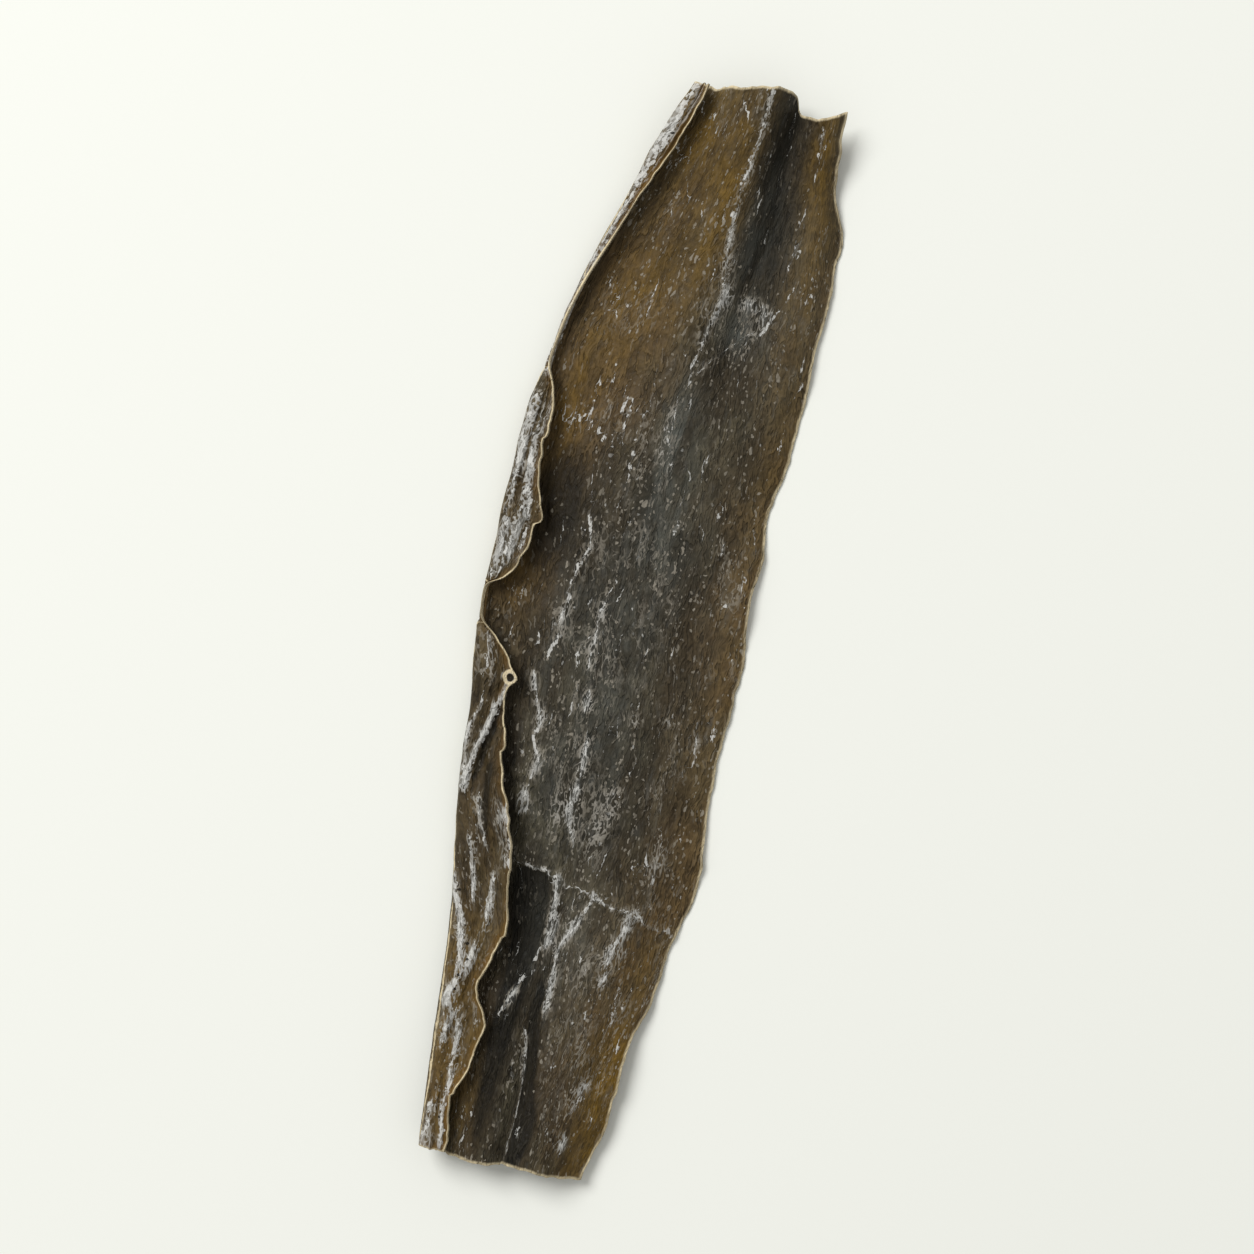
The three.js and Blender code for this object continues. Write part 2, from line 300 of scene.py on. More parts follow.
def rollReach(y):
    # distance that the margin reaches back over the blade: more at the ring, less at the nicks, and uneven
    # like a torn edge
    nickStep, raggedFrom = 0.35, (1.2, 3.5)     # a nick's sharp side, and the reach that is ragged
    reach = through(stripForm["rollReach"], y)
    reach = reach + curlRing["out"] * hump(y - curlRing["at"][0], curlRing["bulge"])
    for at, depth, length in freeNicks:
        below = at - y
        reach = reach - depth * smooth(below, 0, nickStep) * np.exp(-np.maximum(below, 0) / length)
    reach = reach + unevenness(dryWrinkles["freeEdge"], y) * smooth(reach, *raggedFrom)
    return np.maximum(reach, 0)


def bladeRelief(share, y):
    # height of the underside: arch + lift of the ends + crease + ruffled margin - furrows, kept above
    # the floor
    form, crease, ruffle = stripForm, stripForm["crease"], stripForm["ruffle"]
    liftFrom, lift = form["narrowLift"]
    half = form["length"] / 2
    pastCrease = crease["at"] + crease["slant"] * share - y
    height = form["arch"] * np.sin(math.pi * share) ** 2
    height = height + lift * np.maximum((y - liftFrom) / (half - liftFrom), 0) ** 2
    height = height + form["wideLift"] * np.maximum(pastCrease, 0) / (half + crease["at"])
    across = smooth(share, crease["from"], crease["full"])
    height = height + crease["height"] * across * hump(pastCrease, crease["half"])
    wave = np.sin(2 * math.pi * y / ruffle["pitch"])
    height = height + ruffle["height"] * smooth(share, ruffle["from"], 1) * wave
    for at, width, depth, start, end in form["furrows"]:
        height = height - depth * smooth((y - start) / (end - start), 0, 1) * hump(share - at, width)
    return (height + np.hypot(height, form["floorSoftness"])) / 2 - form["floorSink"]


def cutShift(share, y):
    # uneven cut: how far a place across the strip sits beyond its row, dying away from the end
    half = stripForm["length"] / 2
    narrow = through(stripForm["narrowCut"], share)
    wide = through(stripForm["wideCut"], share)
    return smooth(np.abs(y), half - stripForm["cutDepth"], half) * np.where(y > 0, narrow, wide)


def stripMiddle():
    # middle line of the thickness at every row: blade from the right edge to the roll, the roll as an arc
    # of the turned angle, the margin as a line whose free edge bends up in a lip
    form, fine = stripForm, dryWrinkles
    half = form["length"] / 2
    y = np.linspace(-half, half, fine["rows"])[:, None]
    reach = rollReach(y)
    outline = through(form["rolledSide"], y)
    rollStart = outline + form["rollRadius"] + form["thickRoll"] / 2
    width = through(form["rightEdge"], y) - rollStart
    share = np.linspace(1, 0, fine["bladeSteps"] + 1)[None]
    x = rollStart + width * share
    fromRight = smooth(width * (1 - share), 0, form["bandTaper"])
    band = mix(form["thickEdge"], form["thickBand"], fromRight)
    thick = mix(form["thickRoll"], band, smooth(share, 0, form["rollTaper"]))
    z = bladeRelief(share, y) + thick / 2

    wave = form["rollWave"] * np.sin(2 * math.pi * y / form["rollWavePitch"])
    turn = mix(form["rimAngle"], form["rollAngle"] + wave, smooth(reach, 0, form["fullRollReach"]))
    angle = turn * np.arange(1, fine["rollSteps"] + 1)[None] / fine["rollSteps"]
    rollX = x[:, -1:] - form["rollRadius"] * np.sin(angle)
    rollZ = z[:, -1:] + form["rollRadius"] * (1 - np.cos(angle))

    flat = form["rimHeight"] + np.maximum(reach - form["rollRadius"] - form["thickRoll"] / 2, 0)
    out = np.arange(1, fine["marginSteps"] + 1)[None] / fine["marginSteps"]
    lip = fine["lip"]
    lipNoise = grain(lip["seed"], y.shape, lip["along"] / (y[1, 0] - y[0, 0]))
    aim = turn - (lip["turn"] + lip["spread"] * lipNoise) * smooth(out, lip["from"], 1)
    step = flat / fine["marginSteps"]
    marginX = rollX[:, -1:] + np.cumsum(-np.cos(aim) * step, 1)
    marginZ = rollZ[:, -1:] + np.cumsum(np.sin(aim) * step, 1)

    middle = {
        "x": np.hstack([x, rollX, marginX]),
        "z": np.hstack([z, rollZ, marginZ]),
        "thick": np.hstack([thick, 0 * angle + form["thickRoll"],
                            mix(form["thickRoll"], form["thickEdge"], out) + 0 * y]),
        "share": np.hstack([share + 0 * y, 0 * angle, 0 * marginX]),
    }
    middle["y"] = y + cutShift(middle["share"], y)
    middle["row"] = y + 0 * middle["x"]
    middle["width"] = width + 0 * middle["x"]
    overFold = np.hstack([0 * x, smooth(angle, *fine["overFold"]), 1 + 0 * marginX])
    middle["overFold"] = overFold                               # 1 on the part that lies folded over
    middle["fromFold"] = (middle["x"] - outline) * overFold     # distance from the fold, seen from above
    beyond = np.hstack([0 * x, form["rollRadius"] * angle, form["rollRadius"] * turn + flat * out])
    standing = 1 - smooth(turn, *fine["lyingTurn"])
    middle["pastFold"] = beyond - form["rollRadius"] * fine["foldLine"] - fine["offLine"] * standing
    fromEdge = np.hstack([width * (1 - share), width + 0 * angle, width + 0 * marginX])
    middle["fromRight"] = fromEdge + beyond
    slope = np.gradient(reach[:, 0], y[:, 0])[:, None]
    middle["toFree"] = (beyond[:, -1:] - beyond + width * middle["share"]) / np.hypot(1, slope)
    fibreLeft, fibreRight = through(fine["fibreLeft"], y), through(fine["fibreRight"], y)
    bladeX = np.hstack([x, 0 * rollX + x[:, -1:], 0 * marginX + x[:, -1:]])
    onBlade = fine["bladeWidth"] * (fibreRight - bladeX)
    middle["across"] = onBlade / (fibreRight - fibreLeft) + beyond      # in the pattern's millimetres
    return middle


def linesOff(lines, middle, across):
    # each line with the distance across from its path and a mask of its length, faded at its two ends
    along, fade = middle["row"][:, :1], lineForm["fade"]
    for line in lines:
        first, last = line["path"][0][0], line["path"][-1][0]
        inside = smooth(along, first - fade, first + fade) * smooth(-along, -last - fade, -last + fade)
        yield line, across - through(line["path"], along), inside


def lineField(lines, middle, across, name):
    # sum of the lines, each a bell curve across its path; bloom also scatters wider
    total = np.zeros_like(middle["x"])
    for line, off, inside in linesOff(lines, middle, across):
        if name in line:
            near = hump(off, line["half"])
            if name == "bloom":
                near = near + lineForm["scatter"] * hump(off, lineForm["wide"])
            total += line[name] * inside * near
    return total


def bladeField(middle, name):
    # the blade's lines, off the part that lies folded over
    return lineField(bladeLines, middle, middle["x"], name) * (1 - middle["overFold"])


def foldField(middle, name):
    # the folded margin's lines, on that part alone
    return lineField(foldLines, middle, middle["fromFold"], name) * middle["overFold"]


def strokeLines():
    # the loose strokes and the crumbs, each a line with two knots
    loose, crumbs = looseStrokes, bladeCrumbs
    draw = np.random.default_rng(loose["seed"])
    count = loose["count"]
    along = draw.uniform(*loose["along"], count)
    left, right = through(dryWrinkles["fibreLeft"], along), through(dryWrinkles["fibreRight"], along)
    across = mix(left, right, draw.uniform(*loose["share"], count))
    reach = mix(*loose["length"], draw.uniform(0, 1, count) ** 2) / 2
    lean = loose["lean"] * draw.standard_normal(count) * reach
    vein = mix(*loose["vein"], draw.uniform(0, 1, count))

    def stroke(y, x, half, side, strength):
        return {"path": [[y - half, x - side], [y + half, x + side]], "vein": strength}
    strokes = [stroke(*row) for row in zip(along, across, reach, lean, vein)]
    for y, x in crumbs["at"]:
        side = crumbs["aside"] * draw.uniform(-1, 1)
        strokes.append(stroke(y, x, crumbs["half"], side, draw.uniform(*crumbs["vein"])))
    return strokes


def veinField(middle):
    # signed distance to the strongest line near each place, and how near and strong it is
    off, near = np.full_like(middle["x"], lineForm["off"]), np.zeros_like(middle["x"])

    def take(distance, strength):
        close = strength * hump(distance, lineForm["near"])
        better = close > near
        off[better] = (distance + 0 * near)[better]
        near[better] = close[better]
    onBlade, onFold = 1 - middle["overFold"], middle["overFold"]
    for line, distance, inside in linesOff(bladeLines + strokeLines(), middle, middle["x"]):
        take(distance, line.get("vein", 0) * inside * onBlade)
    for line, distance, inside in linesOff(foldLines, middle, middle["fromFold"]):
        take(distance, line.get("vein", 0) * inside * onFold)
    distance, shown = creaseLine(middle)
    take(distance, shown * onBlade)
    return off, near


def creaseLine(middle):
    # distance from the bloomed crest of the crease, which wanders in a sum of waves, and how much of the
    # crest shows
    crease, crest = stripForm["crease"], bladeMarks["creaseBloom"]
    share, fade = middle["share"], crest["fade"]
    parts = 0
    for low, high, strength in bladeMarks["creaseShown"]:
        begun, ended = smooth(share, low - fade, low + fade), smooth(-share, -high - fade, fade - high)
        parts = parts + strength * begun * ended
    past = crease["at"] + crease["slant"] * share - middle["row"]
    wave = sum(size * np.sin(turns * share + start) for size, turns, start in crest["waves"])
    return past - crest["wander"] * wave - crest["past"], parts


def spotDistance(middle, along, fromFold):
    # distance from one place of the folded margin, far off on the rest of the strip
    away = np.hypot(middle["row"] - along, middle["fromFold"] - fromFold)
    return away + dryWrinkles["offFold"] * (1 - middle["overFold"])


def gridSteps():
    # usual distance between rows, and between columns of the blade
    fine = dryWrinkles
    return stripForm["length"] / (fine["rows"] - 1), fine["bladeWidth"] / fine["bladeSteps"]


def fromRim(middle):
    # 0 on the bare edges of the two sides, 1 past the reach of the rim
    return smooth(np.minimum(middle["fromRight"], middle["toFree"]), 0, dryWrinkles["rimReach"])


def wrinkleField(middle):
    # dry relief along the face normal: slow cockles, lengthwise ribs and small puckers; on the folded
    # margin its own ribs and raised lines, which stand out on the other face
    fine, ridge = dryWrinkles, dryWrinkles["creaseRidge"]
    rowStep, columnStep = gridSteps()

    def layer(name):
        part = fine[name]
        reach = part["along"] / rowStep, part["across"] / columnStep
        return part["height"] * grain(part["seed"], middle["x"].shape, *reach)
    blade = layer("cockle") + layer("ribs") + layer("pucker") + bladeField(middle, "height")
    ridgeAcross = smooth(middle["share"], ridge["from"], ridge["full"])
    blade = blade + ridge["height"] * ridgeAcross * hump(creaseLine(middle)[0], ridge["half"])
    ring = spotDistance(middle, *curlRing["at"]) - curlRing["radius"]
    margin = layer("marginRibs") + layer("pucker") - foldField(middle, "height")
    margin = margin - curlRing["height"] * hump(ring, curlRing["half"])
    return mix(blade, margin, middle["overFold"]) * mix(fine["rimRelief"], 1, fromRim(middle))


def stripFaces(middle):
    # the two faces: half the thickness off the middle line on either side, along the normal of the
    # section, with the wrinkles on both; a place that would sink into the floor is lifted with its whole
    # thickness
    fine, frill, cut = dryWrinkles, dryWrinkles["frill"], dryWrinkles["cutRagged"]
    alongX, alongZ = np.gradient(middle["x"], axis=1), np.gradient(middle["z"], axis=1)
    size = np.hypot(alongX, alongZ)
    upX, upZ = alongZ / size, -alongX / size
    wrinkle = wrinkleField(middle)
    rows, columns = middle["x"].shape
    frillWave = frill["height"] * grain(frill["seed"], (rows, 1), frill["along"] / gridSteps()[0])
    lift = frillWave * smooth(middle["share"], frill["from"], 1)
    shiftX = unevenness(fine["ragged"], middle["row"][:, :1]) * middle["share"] ** fine["raggedPower"]
    cutNoise = cut["out"] * grain(cut["seed"], (2, columns), 0, cut["across"] / cut["step"])
    half = stripForm["length"] / 2
    nearEnd = smooth(np.abs(middle["row"]), half - cut["depth"], half)
    shiftY = nearEnd * np.where(middle["row"] > 0, cutNoise[:1], cutNoise[1:])
    thin = mix(fine["rimThin"], 1, fromRim(middle))

    def face(side):
        off = side * middle["thick"] * thin / 2 + wrinkle
        x, z = middle["x"] + upX * off + shiftX, middle["z"] + upZ * off + lift
        return np.stack([x, middle["y"] + shiftY, z], -1)
    upper, lower = face(1), face(-1)
    sunk = np.maximum(-np.minimum(lower[..., 2], upper[..., 2]), 0)
    upper[..., 2] += sunk
    lower[..., 2] += sunk
    return upper, lower, wrinkle


def rimDistance(middle):
    # distance in the face to the nearest bare edge: right edge, free edge of the margin, or an end cut
    half = stripForm["length"] / 2
    toCut = half - np.abs(middle["row"])
    return np.minimum(np.minimum(middle["fromRight"], middle["toFree"]), toCut)


# where the colours lie on the blade: each patch is across, along, half across, half along, strength;
# bloom and film lie across in millimetres, the others in shares of the width
bladeMarks = {
    "bloomPatches": [
        [8, 51.9, 5, 1.4, 0.45], [8.5, 47.5, 4, 4, 0.1], [-8.8, -2, 1.6, 4, 0.2],
        [4.8, -29, 4, 7, 0.26], [13.7, -33.5, 1.8, 3, 0.25], [-2.2, -58, 1.4, 2.2, 0.5],
        [-10, 30, 3.5, 3, 0.35], [2, 25, 2.5, 6, 0.12], [-9, 46, 4, 6, 0.15], [-9, 66, 4, 8, 0.15],
        [0, 2, 8, 26, 0.22], [0, -26, 7, 9, 0.18], [11, 50.4, 1.2, 1.4, 0.4], [6, 62, 3, 12, 0.25],
        [-7, 8, 4, 9, 0.08], [8, -62, 6, 14, 0.1], [5.9, -13.5, 0.9, 1.3, 0.45],
        [12.7, 15, 0.9, 1.2, 0.4], [11, -12.6, 1.5, 0.8, 0.4], [17, 43, 0.8, 2, 0.3],
        [5, -48, 6, 5, 0.2], [16.5, 8, 2.5, 40, 0.05], [-12, 13, 4, 15, -0.15]],
    "filmPatches": [
        [1.5, 31, 2.2, 8, 0.7], [4, 18, 4.5, 12, 0.5], [1, -2, 6, 16, 0.35],
        [7.6, 47.6, 3.4, 3.6, 0.75], [5.5, 62, 3, 12, 0.35], [0, -22, 7, 11, 0.4], [5, -48, 6, 8, 0.3],
        [-8, -2, 3, 12, 0.3], [14.5, 55, 4, 16, 0.35], [14.5, 8, 4, 25, 0.15]],
    # crest of the crease; its waves are size, turns across the strip, start
    "creaseBloom": {"half": 0.4, "past": 0.9, "wander": 0.25, "fade": 0.02, "powder": 0.8,
                    "waves": [[1.0, 31, 0], [0.7, 83, 1], [0.4, 170, 0]]},
    # parts of the crest that show: shares from, to, strength
    "creaseShown": [
        [0.22, 0.99, 0.2], [0.27, 0.42, 0.75], [0.56, 0.69, 0.5], [0.75, 0.82, 1.0], [0.93, 0.97, 0.6]],
    "creaseShade": {"share": 0.31, "half": 0.1, "soft": 0.8, "fade": 9.0, "strength": 0.75},
    # shade of the narrow end's furrow, from the lip with the first line to a place across
    "furrowShade": {"from": [0.1, 0.9], "to": [11.6, 13.2], "along": [46, 58], "strength": 0.62},
    "goldPatches": [
        [0.16, 76, 0.2, 10, 0.85], [0.42, 66, 0.1, 16, 0.9], [0.2, 50, 0.16, 14, 0.75],
        [0.1, 28, 0.1, 14, 0.7], [0.9, 76, 0.08, 12, 0.9], [0.87, 58, 0.08, 14, 0.9],
        [0.95, 30, 0.08, 24, 0.35], [0.95, -10, 0.09, 30, 0.3], [0.9, -60, 0.16, 18, 0.6],
        [0.97, -78, 0.14, 10, 1.1], [0.98, -67, 0.1, 7, 0.9], [0.05, 6, 0.1, 8, 0.7],
        [0.15, -76, 0.12, 8, 0.5]],
    # dark tone of the blade together with painted shade: the shadow that the folded margin casts beside
    # it, the valleys and the furrows
    "darkAndShadedPatches": [
        [0.64, 77, 0.14, 14, 0.3], [0.63, 58, 0.13, 12, 0.3], [0.62, 40, 0.13, 8, 0.6],
        [0.13, -22, 0.06, 14, 0.8], [0.3, -44, 0.08, 6, 1.1], [0.33, -52, 0.08, 8, 1.1],
        [0.3, -62, 0.08, 9, 1.2], [0.27, -76, 0.09, 10, 1.0], [0.45, -59, 0.035, 5, 1.4],
        [0.5, -68, 0.045, 7, 1.5], [0.55, -79, 0.055, 7, 1.5], [0.5, 5, 0.3, 30, 0.3],
        [0.1, 14, 0.11, 14, 0.9], [0.22, 16, 0.1, 14, 0.8], [0.18, 62, 0.16, 20, 0.4],
        [0.6, -70, 0.12, 12, 0.3], [0.75, 3, 0.08, 7, 0.4], [0.45, -3, 0.07, 6, 0.4],
        [0.52, -23, 0.2, 9, 0.3]],
    "brownPatches": [
        [0.0, 20, 0.26, 30, 1.0], [0.12, 55, 0.3, 30, 0.8], [1.0, 0, 0.24, 70, 1.0],
        [0.8, -60, 0.25, 22, 0.9], [0.1, -70, 0.2, 16, 0.8], [0.3, 40, 0.2, 16, 0.5]],
    "plain": 0.18,                    # bloom everywhere
    "brown": 0.15,                    # brown everywhere
    "rise": 2.2,                      # how sharply the ribs count as raised
    "most": 1.5,                      # no mask is stronger
}
# the folded margin's own tones along the strip
foldTones = {
    "bloom": [0.03, 0.26],            # plain bloom, and that of the wide end
    "wideEnd": [38, 50],              # distance towards the wide end where it begins
    # bands of bloom: strength, rising from, to, falling from, to
    "bloomBands": [[0.42, 2, 6, 28, 33], [0.3, 36, 42, 60, 70]],
    "bare": {"at": 14, "half": 6, "strength": 0.35},
    "lines": 0.5,                     # share of the lines' bloom
    "gold": [0.2, 0.6],               # in the middle, and at both ends
    "brown": [0.5, 0.75],             # up to the middle, and at the wide end
    "ends": [38, 62],                 # distance from the middle where the ends begin
    "shade": {"at": -24, "half": 15, "strength": 0.75, "fromFold": [1.5, 3.5]},
    "rise": 2.6,
}


def foldShade(middle):
    # the side of the folded margin away from the fold lies in shade half way along
    part = foldTones["shade"]
    halfWay = hump(middle["row"] - part["at"], part["half"])
    return part["strength"] * halfWay * smooth(middle["fromFold"], *part["fromFold"])


def foldBloom(along):
    # plain bloom of the folded margin: more at the wide end, two bands that rise and fall, and a bare
    # place
    tones, bare = foldTones, foldTones["bare"]
    total = mix(*tones["bloom"], smooth(-along, *tones["wideEnd"]))
    for strength, rise, full, fall, end in tones["bloomBands"]:
        total = total + strength * smooth(along, rise, full) * smooth(-along, -end, -fall)
    return total - bare["strength"] * hump(along - bare["at"], bare["half"])


def bladeShade(middle):
    # dark tone and painted shade of the blade: soft patches of both, painted shade past the crease and
    # beside the furrow's lip
    share, along, marks = middle["share"], middle["row"], bladeMarks
    past, crease, furrow = creaseLine(middle)[0], marks["creaseShade"], marks["furrowShade"]
    shaded = smooth(past, 0.0, crease["soft"]) * hump(past, crease["fade"])
    shaded = shaded * hump(share - crease["share"], crease["half"])
    fromLip = middle["x"] - through(bladeLines[0]["path"], along)
    inside = smooth(fromLip, *furrow["from"]) * (1 - smooth(middle["x"], *furrow["to"]))
    inside = inside * smooth(along, *furrow["along"])
    spots = patches(marks["darkAndShadedPatches"], share, along)
    return spots + crease["strength"] * shaded + furrow["strength"] * inside


def patches(rows, across, along):
    # sum of soft spots, each a bell curve both ways
    total = 0
    for atAcross, atAlong, halfAcross, halfAlong, strength in rows:
        total = total + strength * hump(across - atAcross, halfAcross) * hump(along - atAlong, halfAlong)
    return total


def faceMarks(middle, wrinkle):
    # masks that the material reads: bloom along the lines, on patches and on the crease, gold and brown
    # flesh, dark flesh with painted shade, the grey film, and how high a place stands in the fine relief
    share, along, overFold = middle["share"], middle["row"], middle["overFold"]
    marks, tones, crest = bladeMarks, foldTones, bladeMarks["creaseBloom"]
    rowStep, columnStep = gridSteps()
    reach = lineForm["along"] / rowStep, lineForm["across"] / columnStep
    uneven = np.maximum(1 + lineForm["uneven"] * grain(lineForm["seed"], share.shape, *reach), 0)
    past, shown = creaseLine(middle)
    bloom = marks["plain"] + patches(marks["bloomPatches"], middle["x"], along)
    bloom = bloom + bladeField(middle, "bloom") * uneven
    bloom = bloom + crest["powder"] * shown * hump(past, crest["half"])
    ring = hump(spotDistance(middle, *curlRing["at"]) - curlRing["radius"], curlRing["half"])
    foldPowder = tones["lines"] * foldField(middle, "bloom") * uneven + foldBloom(along) + ring
    foldGold = mix(*tones["gold"], smooth(np.abs(along), *tones["ends"]))
    foldBrown = mix(*tones["brown"], smooth(-along, *tones["ends"]))
    # the folded margin's dark is painted shade: in its grooves and on its side away from the fold
    foldPaintedShade = foldField(middle, "dark") + foldShade(middle)
    ribs = np.clip(0.5 + marks["rise"] * wrinkle, 0, 1)
    foldRibs = np.clip(0.5 - tones["rise"] * wrinkle, 0, 1)
    masks = {
        "bloom": mix(bloom, foldPowder, overFold),
        "gold": mix(patches(marks["goldPatches"], share, along), foldGold, overFold),
        "dark": mix(bladeShade(middle), foldPaintedShade, overFold),
        "brown": mix(marks["brown"] + patches(marks["brownPatches"], share, along), foldBrown, overFold),
        "raised": mix(ribs, foldRibs, overFold),
        "film": mix(patches(marks["filmPatches"], middle["x"], along), 0, overFold),
    }
    return {name: np.clip(value, 0, marks["most"]) for name, value in masks.items()}


def stripMesh():
    # ring of every row: lower face from the right edge to the free edge, upper face back again. Quads
    # join the rows, and a ribbon across the thickness closes each end
    middle = stripMiddle()
    upper, lower, wrinkle = stripFaces(middle)
    rows, columns = middle["x"].shape
    ring = 2 * columns
    points = np.concatenate([lower, upper[:, ::-1]], 1).reshape(-1, 3) * mm
    row, column = np.meshgrid(np.arange(rows - 1), np.arange(ring), indexing="ij")
    beside = (column + 1) % ring
    skin = np.stack([row * ring + column, row * ring + beside,
                     (row + 1) * ring + beside, (row + 1) * ring + column], -1).reshape(-1, 4)
    place = np.arange(columns - 1)
    mirror = ring - 1 - place
    wideCap = np.stack([place + 1, place, mirror, mirror - 1], -1)
    top = (rows - 1) * ring
    narrowCap = top + np.stack([place, place + 1, mirror - 1, mirror], -1)
    faces = np.concatenate([skin, wideCap, narrowCap])

    # pattern map in millimetres: across and along the blade, the underside set off to one side
    underSide = 120.0
    acrossRing = np.concatenate([underSide - middle["across"], middle["across"][:, ::-1]], 1)
    alongRing = np.concatenate([middle["y"], middle["y"][:, ::-1]], 1)
    patternMap = np.stack([acrossRing, alongRing], -1).reshape(-1, 2)[faces]
    # map for baking: the ring unrolled over the width of the square, the rows over its height
    capHeight = 0.012
    ringAt = np.stack([column, column + 1, column + 1, column], -1) / ring
    rowAt = capHeight + (1 - 2 * capHeight) * np.stack([row, row, row + 1, row + 1], -1) / (rows - 1)
    skinMap = np.stack([ringAt, rowAt], -1).reshape(-1, 4, 2)
    left, right = place / ring, (place + 1) / ring
    none = 0 * left
    low, high = none + capHeight, none + 1 - capHeight
    wideMap = np.stack([np.stack([right, left, left, right], -1),
                        np.stack([low, low, none, none], -1)], -1)
    narrowMap = np.stack([np.stack([left, right, right, left], -1),
                          np.stack([high, high, none + 1, none + 1], -1)], -1)
    bakeMap = np.concatenate([skinMap, wideMap, narrowMap])

    mesh = bpy.data.meshes.new("kombuBlade")
    mesh.from_pydata(points.tolist(), [], faces.tolist())
    for name, corners in (("OFBake", bakeMap), ("pattern", patternMap)):
        layer = mesh.uv_layers.new(name=name)
        layer.uv.foreach_set("vector", corners.astype(np.float32).ravel())
    marks = faceMarks(middle, wrinkle)
    marks["rim"] = rimDistance(middle)
    marks["margin"] = middle["overFold"]
    marks["fold"] = middle["pastFold"]
    marks["veinOff"], marks["veinNear"] = veinField(middle)
    marks["curlAlong"] = middle["row"] - curlRing["at"][0]
    offFold = dryWrinkles["offFold"] * (1 - middle["overFold"])
    marks["curlAside"] = middle["fromFold"] - curlRing["at"][1] + offFold
    pits = [spotDistance(middle, along, aside) / size for along, aside, size in foldPits]
    marks["pit"] = np.min(pits, 0)
    for name, value in marks.items():
        both = np.concatenate([value, value[:, ::-1]], 1)
        layer = mesh.attributes.new(name, "FLOAT", "POINT")
        layer.data.foreach_set("value", both.astype(np.float32).ravel())
    cut = mesh.attributes.new("cut", "FLOAT", "CORNER")
    cut.data.foreach_set("value", np.repeat(np.arange(len(faces)) >= len(skin), 4).astype(np.float32))
    mesh.polygons.foreach_set("use_smooth", np.ones(len(faces), bool))
    mesh.update()
    print("strip mesh:", len(points), "points,", 2 * len(faces), "triangles")
    return mesh


# shader helpers

def addNode(tree, kind, inputs=None, **settings):
    # node with its settings; each input is linked to a socket or set to a value
    made = tree.nodes.new(kind)
    for name, value in settings.items():
        setattr(made, name, value)
    for key, value in (inputs or {}).items():
        if isinstance(value, bpy.types.NodeSocket):
            tree.links.new(value, made.inputs[key])
        else:
            made.inputs[key].default_value = value
    return made


def calc(tree, operation, a, b=0.0):
    # result of one math node
    return addNode(tree, "ShaderNodeMath", {0: a, 1: b}, operation=operation).outputs[0]


def vector(tree, x, y, z=0.0):
    # three numbers as one vector
    return addNode(tree, "ShaderNodeCombineXYZ", {"X": x, "Y": y, "Z": z}).outputs[0]


def vectorCalc(tree, operation, a, b):
    # result of one vector math node
    return addNode(tree, "ShaderNodeVectorMath", {0: a, 1: b}, operation=operation).outputs[0]


def ramp(tree, value, low, high, toLow=0.0, toHigh=1.0):
    # smooth step of a value from one range to another
    inputs = {"Value": value, "From Min": low, "From Max": high, "To Min": toLow, "To Max": toHigh}
    return addNode(tree, "ShaderNodeMapRange", inputs, interpolation_type="SMOOTHSTEP").outputs["Result"]


def mixColour(tree, share, a, b):
    # a at share 0, b at share 1
    return addNode(tree, "ShaderNodeMix", {0: share, 6: a, 7: b}, data_type="RGBA").outputs[2]


def named(tree, name):
    # a mask that the mesh carries
    return addNode(tree, "ShaderNodeAttribute", attribute_name=name).outputs["Fac"]


def shade(red, green, blue):
    # colour as read off a screen, 0 to 255, made linear
    def linear(level):
        level = level / 255
        return level / 12.92 if level <= 0.04045 else ((level + 0.055) / 1.055) ** 2.4
    return (linear(red), linear(green), linear(blue), 1.0)


def patternGroup(name, values, *results):
    # empty group that reads the pattern map and the given values, and puts out the named results
    tree = bpy.data.node_groups.new(name, "ShaderNodeTree")
    sockets = tree.interface
    sockets.new_socket("Pattern", in_out="INPUT", socket_type="NodeSocketVector")
    for key, value in values.items():
        sockets.new_socket(key, in_out="INPUT", socket_type="NodeSocketFloat").default_value = value
    for key in results:
        sockets.new_socket(key, in_out="OUTPUT", socket_type="NodeSocketFloat")
    return tree, addNode(tree, "NodeGroupInput").outputs


def stretched(tree, start):
    # the pattern map divided by its pitch across and along, and moved on by the seed
    pitch = vector(tree, start["Across"], start["Along"], 1.0)
    seed = vector(tree, start["Seed"], start["Seed"], start["Seed"])
    return vectorCalc(tree, "ADD", vectorCalc(tree, "DIVIDE", start["Pattern"], pitch), seed)


def grainGroup():
    # noise drawn out along the strip; Line is its distance from a half, so 0 along thin contours
    values = {"Across": 1.0, "Along": 5.0, "Seed": 0.0, "Detail": 3.0, "Rough": 0.55}
    tree, start = patternGroup("lengthwiseGrain", values, "Grain", "Line")
    noise = addNode(tree, "ShaderNodeTexNoise", {
        "Vector": stretched(tree, start), "Scale": 1.0, "Detail": start["Detail"],
        "Roughness": start["Rough"]}).outputs["Fac"]
    line = calc(tree, "ABSOLUTE", calc(tree, "SUBTRACT", noise, 0.5))
    addNode(tree, "NodeGroupOutput", {"Grain": noise, "Line": line})
    return tree


def grainIn(tree, start, grainTree, **inputs):
    # the grain group inside another group, on that group's own layout but for what is given
    for name in ("Pattern", "Across", "Along", "Seed"):
        inputs.setdefault(name, start[name])
    return addNode(tree, "ShaderNodeGroup", inputs, node_tree=grainTree).outputs


